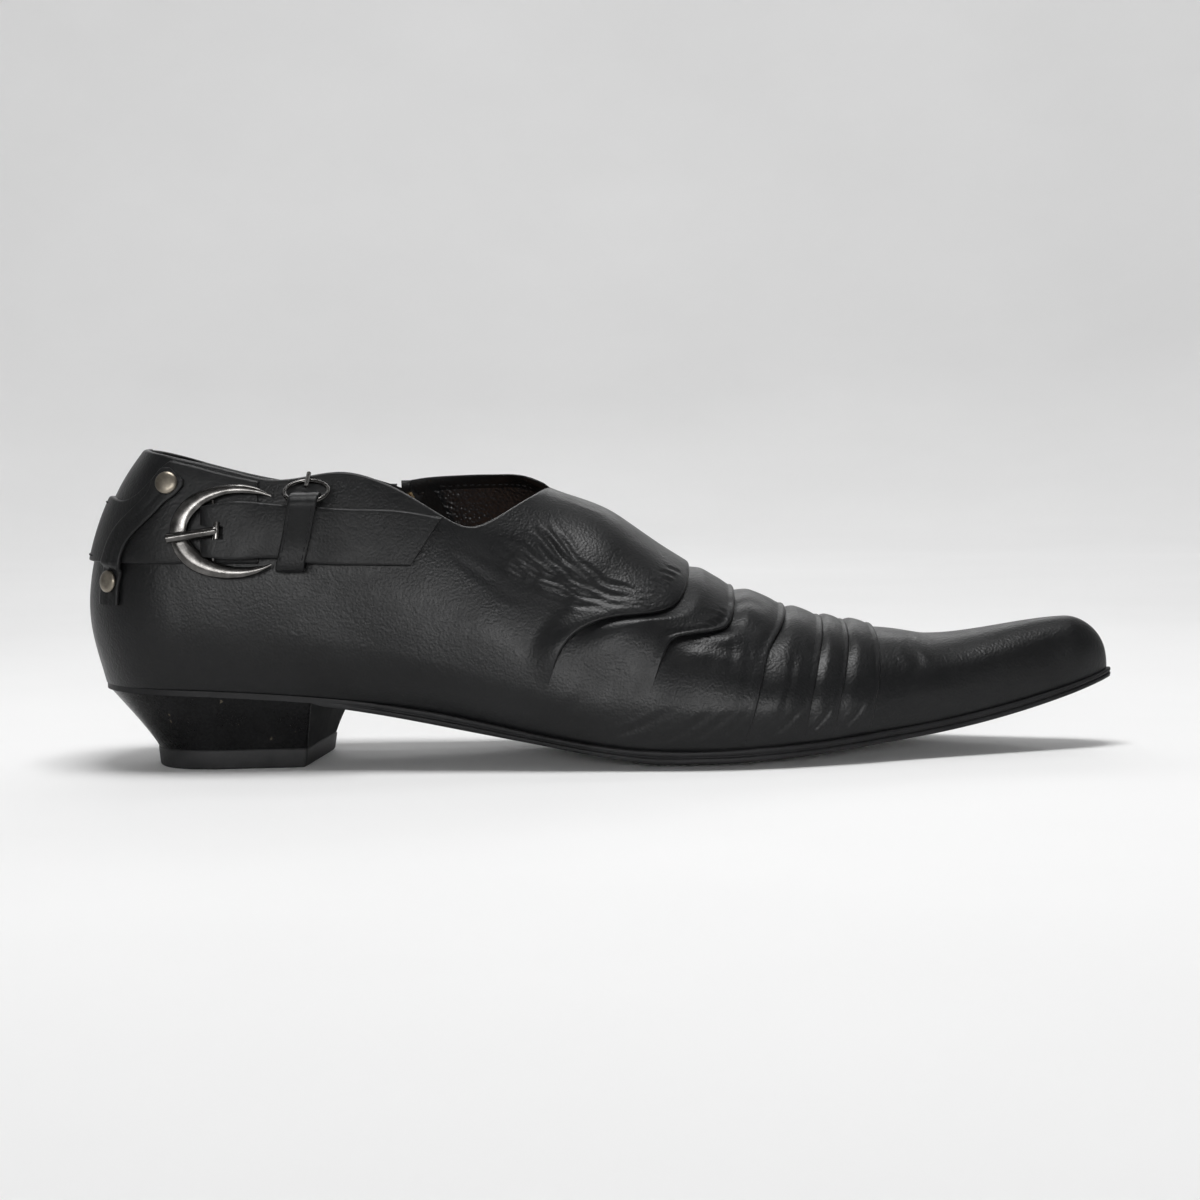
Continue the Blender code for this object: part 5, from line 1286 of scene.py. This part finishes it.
LOOP_X = 63.6
LOOP_LEAN = 0.25
LOOP_HALF = 3.9
LOOP_LEVELS = (56.6, 74.6)
LOOP_MIDDLE = 66.0
LOOP_THICK = 1.15
RING_CENTRE = (66.0, 77.0)
RING_OFF = 6.2
RING_RADIUS = 5.9
RING_TUBE = 0.65
RING_TILT = 62.0
RING_PRONG_LIFT = 0.7
RING_PRONG_FROM = 0.5
RING_PRONG_PAST = 2.0
RING_PRONG_RADII = (0.55, 0.6, 0.6, 0.65)
LOOP_GAP = 0.3
LOOP_EDGE = 0.45
LOOP_STITCH_INSET = 0.9
LOOP_STITCH_SHORT = 1.5


def local_frame(x, z, side, offset, reach=5.0):
    """Origin and axes on the wall: along +x, upward and outward."""
    x = np.float64(x)
    along = wall_point(x + reach, z, side, offset) - wall_point(x - reach, z, side, offset)
    up = wall_point(x, z + reach, side, offset) - wall_point(x, z - reach, side, offset)
    return wall_point(x, z, side, offset), *square_axes(along, up, side)


BUCKLE_FRAME = local_frame(*BUCKLE_CENTRE, LATERAL, BUCKLE_OFF)


def local(axes, a, b, c):
    """Point in a local frame by its distances along, across and outward."""
    origin, along, across, out = axes
    return origin + along * a + across * b + out * c


def buckle_place(x, z, off):
    """Point in the buckle's plane by x, height and stand-off from the wall."""
    return local(BUCKLE_FRAME, x - BUCKLE_CENTRE[0], z - BUCKLE_CENTRE[1], off - BUCKLE_OFF)


def bulge(value, power):
    """A signed value with its size raised to a power, for a squarer round."""
    return math.copysign(abs(value) ** power, value)


def make_buckle():
    """Polished open loop with a bar, and the ribbed prong."""
    origin, along, up, out = BUCKLE_FRAME
    loop, prong = Mesh(), Mesh()
    rings = []
    angles = np.radians(np.linspace(BUCKLE_OPEN_ANGLE, 360 - BUCKLE_OPEN_ANGLE, 110))
    for angle in angles:
        closed = (1 - math.cos(angle)) / 2
        lower, behind = BUCKLE_LOWER_SPANS
        wide = BUCKLE_TIP_WIDE + (BUCKLE_ARM_WIDE - BUCKLE_TIP_WIDE) * smooth(closed, *BUCKLE_ARM_SPAN)
        wide += (BUCKLE_WIDE - BUCKLE_ARM_WIDE) * smooth(closed, *BUCKLE_WIDE_SPAN)
        wide += BUCKLE_LOWER_SWELL * smooth(-math.sin(angle), *lower) * smooth(closed, *behind)
        thick = BUCKLE_TIP_THICK + (BUCKLE_THICK - BUCKLE_TIP_THICK) * smooth(closed, *BUCKLE_THICK_SPAN)
        radial = unit(along * math.cos(angle) * BUCKLE_HALF_TALL + up * math.sin(angle) * BUCKLE_HALF_LONG)
        middle = origin + along * BUCKLE_HALF_LONG * math.cos(angle) + up * BUCKLE_HALF_TALL * math.sin(angle)
        to_end = min(angle - angles[0], angles[-1] - angle)
        ends = min(1.0, BUCKLE_END_ROUND[0] + BUCKLE_END_ROUND[1] * to_end)
        ring = []
        for a in np.linspace(0, 2 * math.pi, 18, endpoint=False):
            flat = 0.5 * wide * bulge(math.cos(a), BUCKLE_ROUND[0])
            rise = 0.5 * thick * bulge(math.sin(a), BUCKLE_ROUND[1])
            ring.append(middle + (radial * flat + out * rise) * ends)
        rings.append(ring)
    loop.rings(rings)
    reach = BUCKLE_HALF_TALL * math.sqrt(1 - ((BAR_X - BUCKLE_CENTRE[0]) / BUCKLE_HALF_LONG) ** 2)
    bar = [buckle_place(BAR_X, BUCKLE_CENTRE[1] + s * reach, BUCKLE_OFF) for s in (-1, 1)]
    rod(loop, *bar, (BAR_RADIUS,) * 4)
    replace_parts(loop.make("buckle", NICKEL, "dark_nickel", sharp=60.0), "buckle_frame")
    rod(prong, *(buckle_place(x, z, PRONG_OFF) for x, z in PRONG_ENDS), PRONG_RIBS, 16)
    rod(prong, *(buckle_place(x, z, HUB_OFF) for x, z in HUB_ENDS), HUB_RADII)
    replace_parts(prong.make("prong", NICKEL, "dark_nickel", sharp=60.0), "buckle_prong")


def strap_path():
    """x and stand-off of the strap's middle, from its short return round the fold to its tail."""
    x = np.linspace(STRAP_FRONT, STRAP_END, 60)
    tail = zip(x, STRAP_CURVES["off"](x) - STRAP_THICK / 2)
    return chaikin([*STRAP_FOLD, *tail], 2, closed=False)


def make_buckle_strap():
    """Strap folded round the bar, with its slot for the prong and a slanted tail."""
    path = strap_path()
    run = unit(np.gradient(path, axis=0))
    turn = np.stack([-run[:, 1], run[:, 0]], axis=-1)
    mesh = Mesh()

    def place(i, v, h):
        x, off = path[i] + turn[i] * (h - 0.5) * STRAP_THICK
        share = max(0.0, (x - STRAP_SLANT_FROM) / (STRAP_END - STRAP_SLANT_FROM))
        low, high = float(STRAP_CURVES["low"](x)), float(STRAP_CURVES["high"](x))
        rise, fall = (smooth(x, *span) for span in STRAP_CURL_SPANS)
        curl = STRAP_CURL * rise * (1 - fall) * (2 * v - 1) ** 2
        x = x - STRAP_SLANT * (1 - v) * share
        return wall_point(np.float64(x), low + (high - low) * v, LATERAL, off - curl)

    ribbon(mesh, place, range(len(path)), strap_profile(STRAP_WIDE, STRAP_THICK, 0.5, 24))
    obj = mesh.make("strap", STRAP_LEATHER, "strap_leather", sharp=60.0)
    bm = bmesh.new()
    bm.from_mesh(obj.data)
    slot = []
    for face in bm.faces:
        middle = np.array(face.calc_center_median()) / MILLIMETRE + ORIGIN
        if middle[0] < SLOT_END_X and abs(middle[2] - SLOT_Z) < SLOT_HALF:
            slot.append(face)
    bmesh.ops.delete(bm, geom=slot, context="FACES")
    bm.to_mesh(obj.data)
    bm.free()
    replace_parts(obj, "buckle_strap")


def loop_path(face):
    """Height and stand-off of the loop's inner face: up behind the strap, over the ring and down outside."""
    low, high = LOOP_LEVELS
    path = [(low + 1.5, 1.2), (LOOP_MIDDLE, 1.2), (high - 1.5, 1.2), (high + 0.2, 2.2), (75.4, 4.6),
            (75.7, 8.0), (75.5, 10.6), (75.0, 12.0), (73.6, 12.3), (71.0, 10.4), (67.5, 8.0),
            (63.0, face + 0.3), (low + 1.4, face), (low + 0.2, face - 0.4), (low - 0.3, 3.6), (low, 2.0)]
    return chaikin(path, 3)


def make_loop():
    """Closed loop of narrow strap round the buckle strap and over the ring, stitched along its edges."""
    low, high = LOOP_LEVELS
    face = float(STRAP_CURVES["off"](LOOP_X)) + LOOP_GAP
    inner = loop_path(face)
    run = unit(np.roll(inner, -1, axis=0) - np.roll(inner, 1, axis=0))
    turned = np.stack([run[:, 1], -run[:, 0]], axis=-1)
    outer = inner + turned * LOOP_THICK
    profile = strap_profile(2 * LOOP_HALF, LOOP_THICK, LOOP_EDGE)
    mesh = Mesh()
    rings = []
    for a, b in zip(inner, outer):
        middle = LOOP_X + (a[0] - LOOP_MIDDLE) * LOOP_LEAN
        ring = []
        for v, h in profile:
            z, off = a + (b - a) * h
            ring.append(wall_point(np.float64(middle + (2 * v - 1) * LOOP_HALF), z, LATERAL, off))
        rings.append(ring)
    mesh.rings(rings + rings[:1], capped=False)
    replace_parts(mesh.make("loop", STRAP_LEATHER, "strap_leather", sharp=60.0), "keeper_strap")
    front = np.array(sorted(tuple(p) for p in outer if p[1] > face))
    for across in (-1, 1):
        def place(z, off):
            x = LOOP_X + (z - LOOP_MIDDLE) * LOOP_LEAN + across * (LOOP_HALF - LOOP_STITCH_INSET)
            return wall_point(np.float64(x), z, LATERAL, np.interp(z, front[:, 0], front[:, 1]) + off)
        stitch_row(STITCHES, place, low + LOOP_STITCH_SHORT, high - LOOP_STITCH_SHORT)


def make_ring():
    """Small round buckle on the loop's upper turn, and its prong."""
    centre = wall_point(np.float64(RING_CENTRE[0]), RING_CENTRE[1], LATERAL, RING_OFF)
    tilt = math.radians(RING_TILT)
    normal = np.array([0.0, -math.cos(tilt), math.sin(tilt)])
    right = np.array([1.0, 0.0, 0.0])
    across = np.cross(normal, right)
    mesh = Mesh()
    rings = []
    for angle in np.linspace(0, 2 * math.pi, 56, endpoint=False):
        radial = right * math.cos(angle) + across * math.sin(angle)
        rings.append(circle(centre + radial * RING_RADIUS, radial, normal, RING_TUBE, 12))
    mesh.rings(rings + rings[:1], capped=False)
    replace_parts(mesh.make("ring", NICKEL, "dark_nickel"), "ring_buckle")
    inward = across if across[1] > 0 else -across
    base = centre + normal * (RING_TUBE + RING_PRONG_LIFT)
    prong = Mesh()
    tip = base + inward * (RING_RADIUS + RING_PRONG_PAST)
    rod(prong, base + inward * RING_PRONG_FROM, tip, RING_PRONG_RADII, 10)
    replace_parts(prong.make("ring_pin", NICKEL, "dark_nickel"), "ring_prong")


# Zip

TAPE_HALF = 6.4
GUARD_HALF = 9.0
GUARD_RISE = 3.0
GUARD_CUT = 9.0
STOP_ABOVE_TOP = 0.4
SLIDER_DROP = 9.0
SLIDER_HALF = 2.8
SLIDER_LONG = 8.0
PULL_WIDE = 4.6
PULL_LONG = 11.0
PULL_BAR = 0.9
PULL_THICK = 1.1
PULL_OFF = 2.2
PULL_ALONG = 0.7
PULL_WAIST = -6.5
PULL_WINDOW_WAIST = -6.3
PULL_TAPER = 0.8
TOOTH_PITCH = 1.15
TOOTH_RADII = (0.46, 0.5, 0.5, 0.46)
TOOTH_ENDS = ((1.75, -0.75), (-0.35, -0.65))
TOOTH_START = 0.012
TOOTH_GAP = 0.4
CORD_PLACE = (1.85, -0.9)
CORD_RADIUS = 0.42
ZIP_STEP = 0.03
ZIP_REACH = 3.0
ZIP_UNDER = 0.05
TAPE_DEPTH = WALL + 0.6
TAPE_DROP = 0.01
GUARD_DEPTHS = (WALL + 1.5, WALL + 2.4)
GUARD_DROP = 0.005
GUARD_PEAK = (0.8, 0.25)
GUARD_CUT_SPAN = (0.35, 0.65)
SHEET_ROWS = 40
SHEET_RISE_ROWS = (28, 39)
SLIDER_HOOK = ((3.3, 0.6), (3.3, 4.0), (-1.6, 4.0), (-1.6, 1.7), (-0.8, 1.7), (-0.8, 3.2), (2.3, 3.2),
               (2.3, 0.6))
SLIDER_HOOK_LINES = (-0.8, -0.5, 0.5, 0.8)
STOP_SIZE = (2.6, 1.9, 1.9)
STOP_EDGE = 0.4
STOP_INSET = 0.6
STOP_UNDER = 1.3
ZIP_STITCH_AWAY = (1.5, 3.6)
ZIP_STITCH_SPAN = (0.24, 0.965)


def on_zip(share, across=0.0, offset=0.0):
    """Point on the zip's wall by share of height, distance across and stand-off."""
    x = np.float64(zip_x(share, across))
    level = section_point(x, share, MEDIAL)[2]
    return wall_point(x, level, MEDIAL, offset)


def zip_frame():
    """Frame on the wall at the slider, the slider's and the collar's shares of height, and that height."""
    top = collar_share(zip_x, MEDIAL)
    height = float(LAST["crest"](ZIP_TOP[1]) - LAST["feather"](ZIP_TOP[1]))
    share = top - SLIDER_DROP / height
    origin = on_zip(share)
    rear, front = (wall_point(origin[0] + reach, origin[2], MEDIAL) for reach in (-ZIP_REACH, ZIP_REACH))
    axes = square_axes(on_zip(share + ZIP_STEP) - on_zip(share - ZIP_STEP), front - rear, MEDIAL)
    return (origin, *axes), share, top, height


ZIP_FRAME, SLIDER_SHARE, ZIP_END, ZIP_HEIGHT = zip_frame()
ZIP_START = FOOT_SHARE * ZIP_END


def zip_sheet(half, depth, high, rise=0.0, cut=0.0):
    """Grid of a strip behind the slit, with a peak at its front and its rear cut down."""
    grid = []
    for v in np.linspace(-1, 1, 23):
        peak = rise * math.exp(-((v - GUARD_PEAK[0]) / GUARD_PEAK[1]) ** 2)
        peak -= cut * float(1 - smooth(v, *GUARD_CUT_SPAN))
        line = []
        for k, share in enumerate(np.linspace(ZIP_START - ZIP_UNDER, high, SHEET_ROWS)):
            point = on_zip(share, v * half, -depth)
            level = point[2] + peak * float(smooth(k, *SHEET_RISE_ROWS))
            line.append(wall_point(np.float64(point[0]), level, MEDIAL, -depth))
        grid.append(line)
    return grid


def make_zip_cloth():
    """Tape, and the guard behind it."""
    tape, guard = Mesh(), Mesh()
    tape.grid(zip_sheet(TAPE_HALF, TAPE_DEPTH, ZIP_END - TAPE_DROP))
    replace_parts(tape.make("tape", ZIP_CLOTH, "zip_tape"), "zip_tape")
    for depth in GUARD_DEPTHS:
        guard.grid(zip_sheet(GUARD_HALF, depth, ZIP_END - GUARD_DROP, GUARD_RISE, GUARD_CUT))
    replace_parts(guard.make("guard", STRAP_LEATHER, "upper_leather"), "zip_guard")


def make_coils():
    """Meshed coils below the slider, with a cord along either side."""
    coils = Mesh()
    below = SLIDER_SHARE - (SLIDER_LONG / 2 + TOOTH_GAP) / ZIP_HEIGHT
    start = ZIP_START + TOOTH_START
    count = int(np.linalg.norm(on_zip(below) - on_zip(start)) / TOOTH_PITCH)
    for i in range(count):
        for side in (-1, 1):
            at = start + (below - start) * (i + 0.5 + 0.25 * side) / count
            rod(coils, *(on_zip(at, side * across, off) for across, off in TOOTH_ENDS), TOOTH_RADII, 8)
    for side in (-1, 1):
        steps = [on_zip(s, side * CORD_PLACE[0], CORD_PLACE[1]) for s in np.linspace(start, below, 14)]
        for a, b in zip(steps, steps[1:]):
            rod(coils, a, b, (CORD_RADIUS, CORD_RADIUS), 8)
    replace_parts(coils.make("coils", ZIP_BLACK, "black_metal"), "zip_teeth")


def make_slider():
    """Slider, narrower at its foot, with the bridge that holds the pull tab."""
    slider = Mesh()
    half = SLIDER_LONG / 2
    stations = ((-half, 0.74), (-half + 0.5, 0.82), (-1.0, 0.86), (1.2, 1.0), (half - 0.6, 1.0), (half, 0.9))
    rings = []
    for a, wide in stations:
        b = SLIDER_HALF * wide
        right = [(b - 0.5, -WALL), (b, -1.2), (b, 0.6), (b - 0.6, 1.2)]
        left = [(-p, q) for p, q in right[::-1]]
        rings.append([local(ZIP_FRAME, a, p, q) for p, q in left[-1:] + right + left[:-1]])
    slider.rings(rings)
    hook = chaikin(SLIDER_HOOK, 1)
    slider.rings([[local(ZIP_FRAME, a, b, c) for a, c in hook] for b in SLIDER_HOOK_LINES])
    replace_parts(slider.make("slider", ZIP_BLACK, "black_metal"), "zip_slider")


def soft_box(mesh, axes, lows, highs, edge):
    """Box with bevelled edges in a local frame: along, across and outward."""
    rings = []
    for a, shrink in ((lows[0], edge), (lows[0] + edge, 0.0), (highs[0] - edge, 0.0), (highs[0], edge)):
        b0, b1, c0, c1 = lows[1] + shrink, highs[1] - shrink, lows[2] + shrink, highs[2] - shrink
        corners = [(b0 + edge, c0), (b1 - edge, c0), (b1, c0 + edge), (b1, c1 - edge),
                   (b1 - edge, c1), (b0 + edge, c1), (b0, c1 - edge), (b0, c0 + edge)]
        rings.append([local(axes, a, b, c) for b, c in corners])
    mesh.rings(rings)


def make_stops():
    """A brass clip at the top of either row."""
    long, wide, thick = STOP_SIZE
    for name, side in (("zip_stop_front", 1), ("zip_stop_rear", -1)):
        middle = side * (ZIP_HALF - STOP_INSET - wide / 2)
        low = SLIDER_DROP - long + STOP_ABOVE_TOP
        lows = (low, middle - wide / 2, -WALL - STOP_UNDER)
        stop = Mesh()
        soft_box(stop, ZIP_FRAME, lows, (low + long, middle + wide / 2, -WALL + thick), STOP_EDGE)
        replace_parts(stop.make(name + "_clip", BRASS, "stop_brass"), name)


def make_pull():
    """Pull tab with its window, on its own body."""
    high, low = PULL_BAR / 2, PULL_BAR / 2 - PULL_LONG
    wide, narrow = PULL_WIDE / 2, PULL_TAPER * PULL_WIDE / 2

    def plan(high, waist, low, wide, narrow):
        points = [(high, -wide), (high, wide), (waist, wide), (low, narrow), (low, -narrow), (waist, -wide)]
        return chaikin(points, 2)

    outline = plan(high, PULL_WAIST, low, wide, narrow)
    bar = PULL_BAR
    window = plan(high - bar, PULL_WINDOW_WAIST, low + 1.5 * bar, wide - bar, narrow - bar)
    pull = Mesh()
    rings = []
    for p, q in zip(outline, window):
        section = ((p, -0.5), (p, 0.5), (q, 0.5), (q, -0.5))
        rings.append([local(ZIP_FRAME, PULL_ALONG + a, b, PULL_OFF + h * PULL_THICK)
                      for (a, b), h in section])
    pull.rings(rings + rings[:1], capped=False)
    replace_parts(pull.make("pull", ZIP_BLACK, "black_metal", body="pull_tab", sharp=30.0), "zip_pull")


def make_zip_stitches():
    for side in (-1, 1):
        for away in ZIP_STITCH_AWAY:
            def place(s, off):
                return on_zip(s, side * (ZIP_HALF + away), off)
            stitch_row(STITCHES, place, *(share * ZIP_END for share in ZIP_STITCH_SPAN))


# Stitches along the binding inside the collar

COLLAR_STITCHES = ((LATERAL, 13.5, 109.0), (LATERAL, 111.5, 128.0),
                   (MEDIAL, 13.5, 80.0), (MEDIAL, 98.0, 128.0))
COLLAR_STITCH_DROP = 2.6
COLLAR_STITCH_DEPTH = WALL + 0.08


def make_collar_stitches():
    for side, start, end in COLLAR_STITCHES:
        def place(x, off):
            z = float(COLLAR[side_name(side)](x)) - COLLAR_STITCH_DROP
            return side_point(np.float64(x), z, side, -COLLAR_STITCH_DEPTH - off)
        stitch_row(STITCHES, place, start, end)


STITCHES = Mesh()
make_sole()
make_heel()
make_insole()
make_lining()
make_band()
make_back_keeper()
make_rivets()
make_buckle()
make_buckle_strap()
make_loop()
make_ring()
make_zip_cloth()
make_coils()
make_slider()
make_stops()
make_pull()
make_zip_stitches()
make_collar_stitches()
STITCHES.make("stitches", ZIP_CLOTH, "strap_leather")


# Floor, light and camera

STAGE_REACH = 2.4
STAGE_CORNER = 1.1
STAGE_WALL = 2.6
STAGE_SIDES = 96


def make_stage():
    """Pale round floor that curves up into a wall."""
    flat = STAGE_REACH - STAGE_CORNER
    profile = [(flat * share, 0.0) for share in (0.05, 0.3, 0.6, 1.0)]
    for angle in np.linspace(0, math.pi / 2, 18)[1:]:
        profile.append((flat + STAGE_CORNER * math.sin(angle), STAGE_CORNER * (1 - math.cos(angle))))
    profile.append((STAGE_REACH, STAGE_WALL))
    angles = np.linspace(0, 2 * math.pi, STAGE_SIDES, endpoint=False)
    points = [(r * math.cos(a), r * math.sin(a), z) for r, z in profile for a in angles]
    faces = [tuple(range(STAGE_SIDES))]
    for i in range(len(profile) - 1):
        for k in range(STAGE_SIDES):
            after = (k + 1) % STAGE_SIDES
            low, high = i * STAGE_SIDES, (i + 1) * STAGE_SIDES
            faces.append((low + k, high + k, high + after, low + after))
    mesh = bpy.data.meshes.new("sweep")
    mesh.from_pydata(points, [], faces)
    mesh.shade_smooth()
    look = Surface("sweep_paper")
    look.feed("Base Color", look.ramp(look.noise(3.0), (0.3, 0.86), (0.7, 0.9)))
    look.shader.inputs["Roughness"].default_value = 0.9
    mesh.materials.append(look.material)
    sweep = bpy.data.objects.new("sweep", mesh)
    bpy.context.scene.collection.objects.link(sweep)


def make_light(name, place, target, size, power, spread=180.0):
    """A soft box that faces a target."""
    data = bpy.data.lights.new(name, "AREA")
    data.shape = "RECTANGLE"
    data.size, data.size_y = size
    data.energy = power
    data.spread = math.radians(spread)
    light = bpy.data.objects.new(name, data)
    light.location = place
    light.visible_camera = False
    light.rotation_mode = "QUATERNION"
    light.rotation_quaternion = (Vector(target) - Vector(place)).to_track_quat("-Z", "Y")
    bpy.context.scene.collection.objects.link(light)


def make_world(strength):
    world = bpy.data.worlds.new("studio")
    world.use_nodes = True
    background = world.node_tree.nodes["Background"]
    background.inputs["Color"].default_value = (1.0, 1.0, 1.0, 1.0)
    background.inputs["Strength"].default_value = strength
    bpy.context.scene.world = world


# Camera, measured in the photograph: distance, height, middle of the view, focal length in pixels, roll
CAMERA_DISTANCE = 640.0
CAMERA_HEIGHT = 86.5
CAMERA_X = 144.7
AIM_HEIGHT = 44.0
FOCAL_PIXELS = 2246.0
PHOTO_PIXELS = 1200.0
SENSOR = 36.0
ROLL_DEGREES = -1.06


def make_camera():
    data = bpy.data.cameras.new("camera")
    data.sensor_width = SENSOR
    data.lens = SENSOR * FOCAL_PIXELS / PHOTO_PIXELS
    camera = bpy.data.objects.new("camera", data)
    eye = Vector((np.array([CAMERA_X, -CAMERA_DISTANCE, CAMERA_HEIGHT]) - ORIGIN) * MILLIMETRE)
    aim = Vector((np.array([CAMERA_X, 0.0, AIM_HEIGHT]) - ORIGIN) * MILLIMETRE)
    camera.location = eye
    camera.rotation_euler = (aim - eye).to_track_quat("-Z", "Y").to_euler()
    camera.rotation_euler.rotate_axis("Z", math.radians(ROLL_DEGREES))
    bpy.context.scene.collection.objects.link(camera)
    bpy.context.scene.camera = camera


make_stage()
make_light("overhead", (0.0, -0.1, 1.0), (0.0, 0.0, 0.0), (0.45, 0.3), 7.5)
make_light("front", (0.0, -1.4, 0.26), (0.0, 0.0, 0.05), (1.8, 0.2), 2.0, 60.0)
make_light("rear", (0.0, 1.4, 0.9), (0.0, 0.0, 0.05), (1.2, 0.3), 3.0)
make_light("back_wall", (0.0, 0.8, 1.7), (0.0, 2.3, 0.6), (2.2, 0.4), 15.0)
make_world(0.08)
make_camera()
bpy.context.scene.view_settings.view_transform = "Standard"
